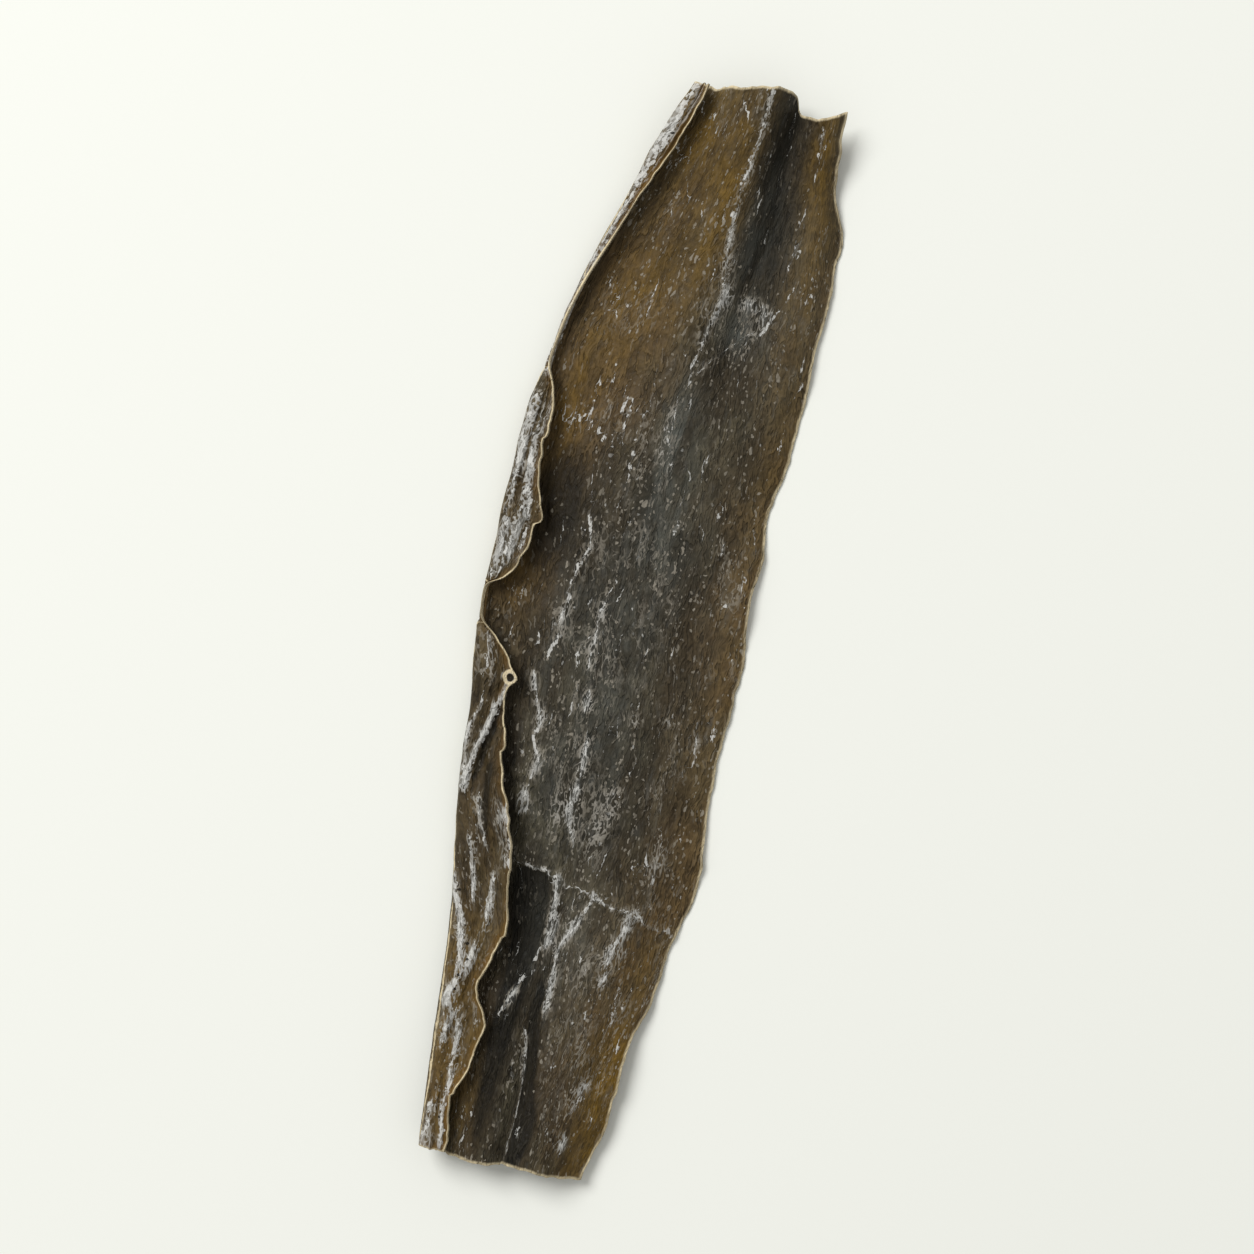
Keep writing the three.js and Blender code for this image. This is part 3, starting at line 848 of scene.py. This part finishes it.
def specksGroup(grainTree):
    # specks where the grain stands above a level that sinks as the density rises
    values = {"Across": 0.3, "Along": 1.5, "Seed": 0.0, "Density": 0.5, "Level": 0.72, "Gain": 0.25,
              "Soft": 0.06}
    tree, start = patternGroup("bloomSpecks", values, "Specks")
    noise = grainIn(tree, start, grainTree, Detail=3.0, Rough=0.6)["Grain"]
    sunk = calc(tree, "MULTIPLY", start["Density"], start["Gain"])
    level = calc(tree, "SUBTRACT", start["Level"], sunk)
    high = calc(tree, "ADD", level, start["Soft"])
    addNode(tree, "NodeGroupOutput", {"Specks": ramp(tree, noise, level, high)})
    return tree


hairForm = {
    "core": 0.3,                      # share of a hair's width that is solid
    "gapAcross": 1.4,                 # pitch of the gaps in a hair, by that of the hairs
    "gapSeed": 31.0,
    "gapGain": 0.4,                   # how fast the gaps close as the density rises
    "gapSoft": 0.1,
}


def hairsGroup(grainTree):
    # thin crooked lines round the blobs of a grain, wider and less broken as the density rises
    form = hairForm
    values = {"Across": 0.9, "Along": 1.8, "Seed": 0.0, "Density": 0.5, "Width": 0.03, "Gain": 0.05,
              "Level": 0.6, "Gap": 2.0}
    tree, start = patternGroup("bloomHairs", values, "Hairs")
    contour = grainIn(tree, start, grainTree, Detail=2.0, Rough=0.5)["Line"]
    gapAcross = calc(tree, "MULTIPLY", start["Across"], form["gapAcross"])
    gapSeed = calc(tree, "ADD", start["Seed"], form["gapSeed"])
    gaps = grainIn(tree, start, grainTree, Across=gapAcross, Along=start["Gap"], Seed=gapSeed,
                   Detail=3.0, Rough=0.6)["Grain"]
    wide = calc(tree, "ADD", start["Width"], calc(tree, "MULTIPLY", start["Density"], start["Gain"]))
    line = ramp(tree, contour, calc(tree, "MULTIPLY", wide, form["core"]), wide, 1.0, 0.0)
    closed = calc(tree, "MULTIPLY", start["Density"], form["gapGain"])
    level = calc(tree, "SUBTRACT", start["Level"], closed)
    shown = ramp(tree, gaps, level, calc(tree, "ADD", level, form["gapSoft"]))
    addNode(tree, "NodeGroupOutput", {"Hairs": calc(tree, "MULTIPLY", line, shown)})
    return tree


dashForm = {
    "soft": 0.06,                     # density over which a dash comes in
    "least": 0.4,                     # size of the smallest, by that of the largest
    "core": 0.8,                      # share of a dash that is solid
    "faint": [0.1, 0.6, 0.3, 0.75],   # density from, to, and the strength of the faintest there
    "fade": [0.3, 1.0],
}


def dashesGroup():
    # one spindle in each cell of a stretched cell pattern: drawn where the cell's first number is under
    # the density, sized by its second and faded by its third, most of all where there are few
    form = dashForm
    values = {"Across": 0.7, "Along": 2.4, "Seed": 0.0, "Density": 0.3, "Size": 0.3}
    tree, start = patternGroup("bloomAndGlintDashes", values, "Dashes")
    cells = addNode(tree, "ShaderNodeTexVoronoi", {"Vector": stretched(tree, start), "Scale": 1.0},
                    voronoi_dimensions="2D").outputs
    numbers = addNode(tree, "ShaderNodeSeparateColor", {"Color": cells["Color"]}).outputs
    comesIn = calc(tree, "SUBTRACT", start["Density"], form["soft"])
    shown = ramp(tree, numbers["Red"], comesIn, start["Density"], 1.0, 0.0)
    sized = ramp(tree, numbers["Green"], 0.0, 1.0, form["least"], 1.0)
    reach = calc(tree, "MULTIPLY", start["Size"], sized)
    body = ramp(tree, cells["Distance"], calc(tree, "MULTIPLY", reach, form["core"]), reach, 1.0, 0.0)
    faint = ramp(tree, start["Density"], *form["faint"])
    faded = calc(tree, "MULTIPLY", body, ramp(tree, numbers["Blue"], *form["fade"], faint, 1.0))
    addNode(tree, "NodeGroupOutput", {"Dashes": calc(tree, "MULTIPLY", faded, shown)})
    return tree


# the finish of the dry blade, colours as they look in soft light
driedFinish = {
    # darkest: mostly painted shade in the valleys and beside the folded margin, where the dark mask is
    # strongest
    "deep": shade(22, 21, 17),
    "dark": shade(40, 38, 31),
    "olive": shade(76, 72, 58),
    "brown": shade(79, 65, 45),
    "gold": shade(99, 76, 28),
    "amber": shade(112, 81, 31),
    "cream": shade(216, 200, 164),
    "cut": shade(150, 131, 96),
    # painted highlight: small glints of light on the fine relief, the colour of the marks where the bloom
    # is sparse
    "glint": shade(146, 139, 126),
    "haze": shade(112, 112, 108),
    "film": shade(83, 85, 80),
    "powder": shade(176, 175, 170),
    "white": shade(208, 207, 202),
    # dark of the pits, also the painted shade in the ring's hollow
    "pit": shade(28, 24, 17),
    "roughness": 0.52,
    "bloomRoughness": 0.92,
    "ior": 1.42,
    "specular": 0.12,
    "bump": 0.9,
    "bumpDepth": 0.36,                # millimetres
}

# how the pattern is pushed: pitch across and along in millimetres, seed, how far aside, how far onward
bladeSways = {
    "slow": (6.0, 18.0, 3.37, 2.6),
    "kinked": (1.8, 3.6, 5.37, 1.0),
    "loose": (1.5, 2.4, 9.37, 1.6, 0.8),
    "frayed": (0.7, 1.0, 6.37, 0.5),
    "onwardSeed": 40,                 # sets the onward push off from the other
}

# grains of the finish: pitch across and along in millimetres, seed, then the noise's detail and roughness
# where they aren't the usual ones
bladeGrains = {
    "broad": (5.0, 16.0, 7.37, 3.0, 0.5),
    "streak": (1.7, 12.0, 12.37, 2.0, 0.5),
    "blotch": (2.2, 4.2, 15.37, 4.0),
    "hue": (5.0, 11.0, 23.37, 2.0, 0.5),
    "grit": (0.5, 0.75, 19.37, 2.0, 0.6),
    "crinkle": (0.65, 1.4, 21.37),
    "wrinkle": (0.8, 3.4, 81.37, 2.0, 0.5),
    "wrinkled": (2.5, 6.0, 83.37),
    "cluster": (3.0, 8.0, 27.37, 4.0, 0.6),
    "dashRows": (1.3, 15.0, 25.37, 2.0),
    "wander": (1.1, 2.4, 71.37, 2.0),
    "fray": (0.5, 0.9, 75.37, 2.0),
    "swell": (1.2, 1.7, 73.37, 3.0, 0.6),
    "beads": (0.55, 1.0, 79.37, 2.0),
    "ragged": (0.7, 1.4, 53.37, 3.0, 0.6),
    "amber": (3.0, 6.0, 57.37),
    "cream": (1.5, 3.5, 61.37),
}

# layers of bloom, the dashes among them also painted glints: pitch across and along and seed, then the
# other values of the layer's group
bloomAndGlintLayers = {
    "haze": (1.0, 3.8, 37.37, 0.63, 0.24, 0.22),            # specks: level, gain, soft
    "brushed": (0.6, 3.2, 33.37, 0.86, 0.34, 0.06),
    "crust": (0.7, 2.0, 45.37, 0.95, 0.36, 0.06),
    "network": (0.85, 2.0, 65.37, 0.03, 0.03, 0.55, 2.2),   # hair lines: width, gain, level, gap
    "loops": (1.4, 4.6, 85.37, 0.02, 0.02, 0.55, 3.6),
    "longDashes": (0.8, 2.9, 67.37, 0.25),                  # dashes: size
    "shortDashes": (0.62, 1.15, 69.37, 0.28),
    "threads": (0.6, 4.4, 63.37, 0.26),
    "dots": (0.62, 1.2, 47.37, 0.28),
}

# smooth steps that turn a grain or mask into a share: from low, from high, and what these become
bladeSteps = {
    "tone": (0.56, 1.0),
    "brown": (0.34, 0.64, 0.45, 0.9),
    "gold": (0.36, 0.62, 0.4, 0.9),
    "deep": (0.85, 1.3, 0.0, 0.75),
    "wrinkle": (0.02, 0.075, 1.0, 0.0),
    "wrinkled": (0.38, 0.6, 0.3, 1.0),
    "wrinkledGold": (0.2, 0.9, 1.0, 0.5),
    "crinkle": (0.36, 0.64, -0.17, 0.17),
    "crinkledBloom": (0.2, 0.6, 1.0, 1.7),
    "grit": (0.36, 0.64, 0.92, 1.08),
    "cluster": (0.42, 0.64),
    "ridges": (0.55, 0.95),
    "lostInDark": (0.5, 1.3, 0.0, 0.35),
    "film": (0.36, 0.6, 0.25, 1.0),
    "haze": (0.6, 1.05, 0.2, 0.38),
    "scribble": (0.3, 0.75),
    "fewInDark": (0.4, 1.1, 1.0, 0.35),
    "dashRows": (0.42, 0.6, 0.2, 2.3),
    "longDashes": (0.05, 1.0, 0.14, 0.45),
    "shortDashes": (0.05, 1.0, 0.2, 0.5),
    "threads": (0.05, 0.6, 0.15, 0.5),
    "dots": (0.1, 1.0, 0.03, 0.16),
    "hairWhite": (0.45, 1.0),
    "hairs": (0.0, 0.9, 0.74, 0.82),
    "swell": (0.43, 0.64, 0.0, 0.5),
    "firm": (0.7, 1.5, 0.0, 0.16),
    "beads": (0.42, 0.5, 0.1, 1.0),
    "unbroken": (1.2, 1.6, 0.0, 0.7),
    "amber": (0.4, 0.6, 0.35, 1.0),
    "amberBloom": (0.0, 1.0, 1.0, 0.3),
    "cream": (0.38, 0.58, 0.6, 1.0),
    "creamWide": (0.0, 1.0, 0.55, 0.34),
    "foldLine": (0.1, 0.28, 0.85, 0.0),
    "ring": (0.18, 0.38, 0.85, 0.0),
    "ringHollowShade": (0.5, 0.68, 0.95, 0.0),
    "pit": (0.75, 1.1, 0.95, 0.0),
}


# weights by which grains and masks are added up, in the order given
bladeWeights = {
    "tone": (0.6, 0.3, 0.55, 0.12, -0.36),      # broad, streak, blotch, raised, dark
    "gold": (0.3, 0.7),                         # streak, blotch
    "deep": (1.0, 0.4),                         # dark, blotch
    "wrinkle": (0.36, -0.28),                   # lit, shaded
    "dense": (0.9, 0.2, 1.0, -1.0),             # bloom, cluster, ridges, what the dark takes
    "film": (0.5, 0.5),                         # streak, blotch
    "height": (0.08, 1.0, 0.25, 0.15, 1.0),     # grit, crinkle, white, hairs, wrinkle lines
}

# values that differ on the folded margin: what it adds, and the value on the blade
marginForm = {
    "ridges": (0.25, 0.12),
    "densest": (0.25, 0.95),
    "fray": (0.6, 0.7),
    "veinWide": (0.3, 0.28),
    "amberWide": (1.1, 0.5),
}

# strengths of single layers, and distances in millimetres
bladeTouch = {
    "wrinkleAt": (0.48, 0.58),        # levels of the grain where the light and the dark line lie
    "threads": 0.45,
    "brushed": 0.4,
    "white": 0.75,
    "cut": 0.8,
    "amber": (0.85, 0.2),             # what a golden margin adds, and elsewhere
    "wander": 1.4,                    # of a vein
    "veinCore": 0.8,                  # share of a vein's width that is solid
    "veinSoft": 0.02,
    "amberFrom": 0.2,                 # the amber and the cream line fade from this distance to the rim
    "rimFrom": 0.08,
    "raggedAmber": 1.6,
    "raggedRim": 0.3,
    "raggedFold": 0.9,
    "raggedRing": 0.4,
    "powdered": 0.8,                  # share of bloom at which the face is as rough as powder
    "unevenRough": 0.3,
}


def driedBlade():
    # Principled material: flesh, fine wrinkles, bloom and thin edges, each laid over the last
    finish, touch = driedFinish, bladeTouch
    grainTree = grainGroup()
    specksTree, hairsTree, dashesTree = specksGroup(grainTree), hairsGroup(grainTree), dashesGroup()
    material = bpy.data.materials.new("driedBlade")
    material.use_nodes = True
    tree = material.node_tree
    tree.nodes.clear()
    pattern = addNode(tree, "ShaderNodeUVMap", uv_map="pattern").outputs["UV"]

    def times(a, b):
        return calc(tree, "MULTIPLY", a, b)

    def less(a, b):
        return calc(tree, "SUBTRACT", a, b)

    def size(a):
        return calc(tree, "ABSOLUTE", a)

    def least(a, b):
        return calc(tree, "MINIMUM", a, b)

    def plus(total, *values):
        for value in values:
            total = calc(tree, "ADD", total, value)
        return total

    def most(total, *values):
        for value in values:
            total = calc(tree, "MAXIMUM", total, value)
        return total

    def weigh(name, *values):
        # sum of the values, each times its weight
        return plus(*(times(value, weight) for value, weight in zip(values, bladeWeights[name])))

    def onMargin(name):
        # a value that grows on the folded margin
        adds, onBlade = marginForm[name]
        return plus(times(margin, adds), onBlade)

    def step(value, name):
        return ramp(tree, value, *bladeSteps[name])

    def over(colour, name, share):
        return mixColour(tree, share, colour, finish[name])

    def grainOf(at, across, along, seed, detail=3.0, rough=0.55):
        inputs = {"Pattern": at, "Across": across, "Along": along, "Seed": seed, "Detail": detail,
                  "Rough": rough}
        return addNode(tree, "ShaderNodeGroup", inputs, node_tree=grainTree).outputs["Grain"]

    def grains(at, name):
        return grainOf(at, *bladeGrains[name])

    def layer(group, at, name, density, *sockets):
        # one layer of bloom marks, the dashes also painted glints: its values go to the sockets of its
        # group in turn
        inputs = dict(zip(("Across", "Along", "Seed") + sockets, bloomAndGlintLayers[name]))
        inputs.update({"Pattern": at, "Density": density})
        return addNode(tree, "ShaderNodeGroup", inputs, node_tree=group).outputs[0]

    def specks(at, name, density):
        return layer(specksTree, at, name, density, "Level", "Gain", "Soft")

    def hairLines(at, name, density):
        return layer(hairsTree, at, name, density, "Width", "Gain", "Level", "Gap")

    def dashes(at, name, density):
        return layer(dashesTree, at, name, density, "Size")

    def swayBy(at, across, along, seed, aside, onward=0.0):
        # the pattern pushed aside, and onward where asked, by a slow grain
        def push(number, far):
            return times(less(grainOf(at, across, along, number), 0.5), far)
        lengthwise = push(seed + bladeSways["onwardSeed"], onward) if onward else 0.0
        return vectorCalc(tree, "ADD", at, vector(tree, push(seed, aside), lengthwise))

    swayed = swayBy(pattern, *bladeSways["slow"])       # slow wander of the fibres
    curled = swayBy(swayed, *bladeSways["kinked"])      # short kinks in the bloom
    frayed = swayBy(swayBy(swayed, *bladeSways["loose"]), *bladeSways["frayed"])

    bloom, gold, dark, brown = (named(tree, name) for name in ("bloom", "gold", "dark", "brown"))
    rim, margin, raised, film = (named(tree, name) for name in ("rim", "margin", "raised", "film"))
    veinOff, veinNear, fold, pit = (named(tree, name) for name in ("veinOff", "veinNear", "fold", "pit"))
    broad, streak, hue = grains(swayed, "broad"), grains(swayed, "streak"), grains(swayed, "hue")
    blotch, crinkle, grit = grains(curled, "blotch"), grains(curled, "crinkle"), grains(pattern, "grit")

    # flesh of the blade: dark to olive, brown and gold in soft places, darkened by dark tone and painted
    # shade, most in the valleys
    tone = step(weigh("tone", broad, streak, blotch, raised, dark), "tone")
    colour = mixColour(tree, tone, finish["dark"], finish["olive"])
    colour = over(colour, "brown", times(brown, step(hue, "brown")))
    colour = over(colour, "gold", times(gold, step(weigh("gold", streak, blotch), "gold")))
    colour = over(colour, "deep", step(weigh("deep", dark, blotch), "deep"))

    # painted light and shade of fine wrinkles: a lit line beside a shaded one, along two contours of a
    # drawn out grain, which also go into the bump
    wrinkle = grains(curled, "wrinkle")
    lit, shaded = (step(size(less(wrinkle, level)), "wrinkle") for level in touch["wrinkleAt"])
    wrinkled = times(step(grains(swayed, "wrinkled"), "wrinkled"), step(gold, "wrinkledGold"))
    wrinkleLightAndShade = times(wrinkled, weigh("wrinkle", lit, shaded))
    crinkled = times(step(crinkle, "crinkle"), step(bloom, "crinkledBloom"))
    colour = vectorCalc(tree, "MULTIPLY", colour, plus(step(grit, "grit"), crinkled, wrinkleLightAndShade))

    # bloom: how dense it is, a grey film and haze, a scribble of hair lines where it is dense, and
    # dashes gathered in lengthwise rows, fewer in dark places; sparse dashes are painted glints, dense
    # ones powder
    ridges = times(onMargin("ridges"), step(raised, "ridges"))
    cluster = step(grains(swayed, "cluster"), "cluster")
    dense = weigh("dense", bloom, cluster, ridges, step(dark, "lostInDark"))
    dense = least(dense, onMargin("densest"))
    colour = over(colour, "film", times(film, step(weigh("film", streak, blotch), "film")))
    haze = specks(curled, "haze", dense)
    colour = over(colour, "haze", times(haze, step(dense, "haze")))
    scribble = most(hairLines(curled, "network", dense), hairLines(curled, "loops", dense))
    scribble = times(scribble, step(dense, "scribble"))
    few = step(dark, "fewInDark")
    dashRows = times(few, step(grains(swayed, "dashRows"), "dashRows"))
    longDashes = dashes(frayed, "longDashes", times(dashRows, step(dense, "longDashes")))
    shortDashes = dashes(frayed, "shortDashes", times(dashRows, step(dense, "shortDashes")))
    threads = dashes(frayed, "threads", step(dense, "threads"))
    hairs = most(shortDashes, longDashes, scribble, times(threads, touch["threads"]))
    # sparse marks take the colour of painted glints, dense ones that of powder
    glintAndPowderColour = mixColour(tree, step(dense, "hairWhite"), finish["glint"], finish["powder"])
    colour = mixColour(tree, times(hairs, step(dense, "hairs")), colour, glintAndPowderColour)
    colour = over(colour, "powder", times(specks(frayed, "brushed", dense), touch["brushed"]))

    # crisp white: veins, where the signed distance, shaken by two grains, is inside a width that swells
    # and breaks off; a crust where the bloom is dense; single dots
    wander = times(less(grains(pattern, "wander"), 0.5), touch["wander"])
    fray = times(less(grains(pattern, "fray"), 0.5), onMargin("fray"))
    veinWide = plus(step(grains(pattern, "swell"), "swell"), step(veinNear, "firm"))
    veinWide = least(times(veinNear, veinWide), onMargin("veinWide"))
    veinAway = size(plus(veinOff, wander, fray))
    solid, faded = times(veinWide, touch["veinCore"]), plus(veinWide, touch["veinSoft"])
    veins = ramp(tree, veinAway, solid, faded, 1.0, 0.0)
    beads = step(grains(pattern, "beads"), "beads")
    veins = times(veins, most(beads, step(veinNear, "unbroken")))
    dots = dashes(frayed, "dots", times(few, step(dense, "dots")))
    white = most(specks(frayed, "crust", dense), veins, dots)
    colour = over(colour, "white", times(white, touch["white"]))

    # thin edges: amber where light comes through, a cream line on the bare rim that is partly its pale
    # colour and partly a painted highlight, cream along the fold and round the ring, the paler cut, dark
    # pits
    ragged = less(grains(pattern, "ragged"), 0.5)
    amberRim = plus(rim, times(ragged, touch["raggedAmber"]))
    amber = ramp(tree, amberRim, touch["amberFrom"], onMargin("amberWide"), 1.0, 0.0)
    amber = times(amber, step(grains(pattern, "amber"), "amber"))
    golden, plain = touch["amber"]
    amber = times(amber, plus(times(times(margin, gold), golden), plain))
    colour = over(colour, "amber", times(amber, step(white, "amberBloom")))
    creamPlaces = step(grains(pattern, "cream"), "cream")
    creamRim = plus(rim, times(ragged, touch["raggedRim"]))
    # the rim's cream line: its pale edge with a painted highlight
    rimLineAndHighlight = ramp(tree, creamRim, touch["rimFrom"], step(margin, "creamWide"), 1.0, 0.0)
    foldLine = step(plus(size(fold), times(ragged, touch["raggedFold"])), "foldLine")
    curl = vector(tree, named(tree, "curlAside"), named(tree, "curlAlong"))
    curl = addNode(tree, "ShaderNodeVectorMath", {0: curl}, operation="LENGTH").outputs["Value"]
    curl = plus(curl, times(ragged, touch["raggedRing"]))
    ring = step(size(less(curl, curlRing["radius"])), "ring")
    colour = over(colour, "cream", most(times(creamPlaces, rimLineAndHighlight), times(creamPlaces, foldLine), ring))
    colour = over(colour, "cut", times(named(tree, "cut"), touch["cut"]))
    # dark pits, and painted shade in the hollow of the curled ring
    colour = over(colour, "pit", most(step(pit, "pit"), step(curl, "ringHollowShade")))

    powdered = most(haze, hairs, white)
    matt = ramp(tree, powdered, 0.0, touch["powdered"], finish["roughness"], finish["bloomRoughness"])
    rough = plus(times(less(crinkle, 0.5), touch["unevenRough"]), matt)
    height = weigh("height", grit, crinkle, white, hairs, wrinkleLightAndShade)
    bump = addNode(tree, "ShaderNodeBump", {
        "Height": height, "Strength": finish["bump"], "Distance": finish["bumpDepth"] * mm})
    shader = addNode(tree, "ShaderNodeBsdfPrincipled", {
        "Base Color": colour, "Roughness": rough, "Normal": bump.outputs[0], "IOR": finish["ior"],
        "Specular IOR Level": finish["specular"]})
    addNode(tree, "ShaderNodeOutputMaterial", {"Surface": shader.outputs[0]})
    print("finish:", len(tree.nodes), "nodes")
    return material


kombu = bpy.data.objects.new("kombu_blade", stripMesh())
bpy.context.scene.collection.objects.link(kombu)
kombu.data.materials.append(driedBlade())
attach(kombu, "root")
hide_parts("kombu_strip")
print("strip in place")


# pale floor, soft studio light and the camera, which looks straight down on the strip

studio = {
    "floorColour": shade(240, 241, 234),
    "floorRoughness": 0.8,
    "floorSpecular": 0.2,
    "floorSize": 6.0,
    "worldColour": (1.0, 1.0, 0.98, 1.0),
    "worldStrength": 0.46,
    "keyFrom": (-1.05, 0.65, 1.3),
    "keySize": 1.0,
    "keyPower": 27.0,
    "lean": math.radians(13.83),      # the strip's top leans to the right
    "lens": 85.0,
    "sensor": 36.0,
    "nearest": 0.01,                  # the camera sees nothing closer
    "view": 0.190,                    # height of the view at the strip
    "centre": (0.0015, 0.0, 0.002),
}


def studioFloor():
    # pale square at the height that the strip lies on
    half = studio["floorSize"] / 2
    mesh = bpy.data.meshes.new("floor")
    corners = [(-half, -half, 0), (half, -half, 0), (half, half, 0), (-half, half, 0)]
    mesh.from_pydata(corners, [], [(0, 1, 2, 3)])
    material = bpy.data.materials.new("paleFloor")
    material.use_nodes = True
    shader = material.node_tree.nodes["Principled BSDF"]
    shader.inputs["Base Color"].default_value = studio["floorColour"]
    shader.inputs["Roughness"].default_value = studio["floorRoughness"]
    shader.inputs["Specular IOR Level"].default_value = studio["floorSpecular"]
    mesh.materials.append(material)
    floor = bpy.data.objects.new("floor", mesh)
    bpy.context.scene.collection.objects.link(floor)


def studioLight():
    # even light from all round, and a large soft disk that faces the strip from its place
    world = bpy.data.worlds.new("studio")
    bpy.context.scene.world = world
    world.use_nodes = True
    background = world.node_tree.nodes["Background"]
    background.inputs["Color"].default_value = studio["worldColour"]
    background.inputs["Strength"].default_value = studio["worldStrength"]
    key = bpy.data.lights.new("key", "AREA")
    key.shape = "DISK"
    key.size = studio["keySize"]
    key.energy = studio["keyPower"]
    lamp = bpy.data.objects.new("key", key)
    x, y, z = studio["keyFrom"]
    lamp.location = (x, y, z)
    lamp.rotation_euler = (math.atan2(math.hypot(x, y), z), 0, math.atan2(x, -y))
    bpy.context.scene.collection.objects.link(lamp)


def photoCamera():
    # straight above the strip, as far off as makes the view that high
    lens = bpy.data.cameras.new("camera")
    lens.lens = studio["lens"]
    lens.sensor_width = studio["sensor"]
    lens.clip_start = studio["nearest"]
    camera = bpy.data.objects.new("camera", lens)
    x, y, z = studio["centre"]
    camera.location = (x, y, z + studio["view"] * lens.lens / lens.sensor_width)
    camera.rotation_euler = (0, 0, studio["lean"])
    bpy.context.scene.collection.objects.link(camera)
    bpy.context.scene.camera = camera


studioFloor()
studioLight()
photoCamera()
bpy.context.scene.view_settings.view_transform = "Standard"
print("studio ready")
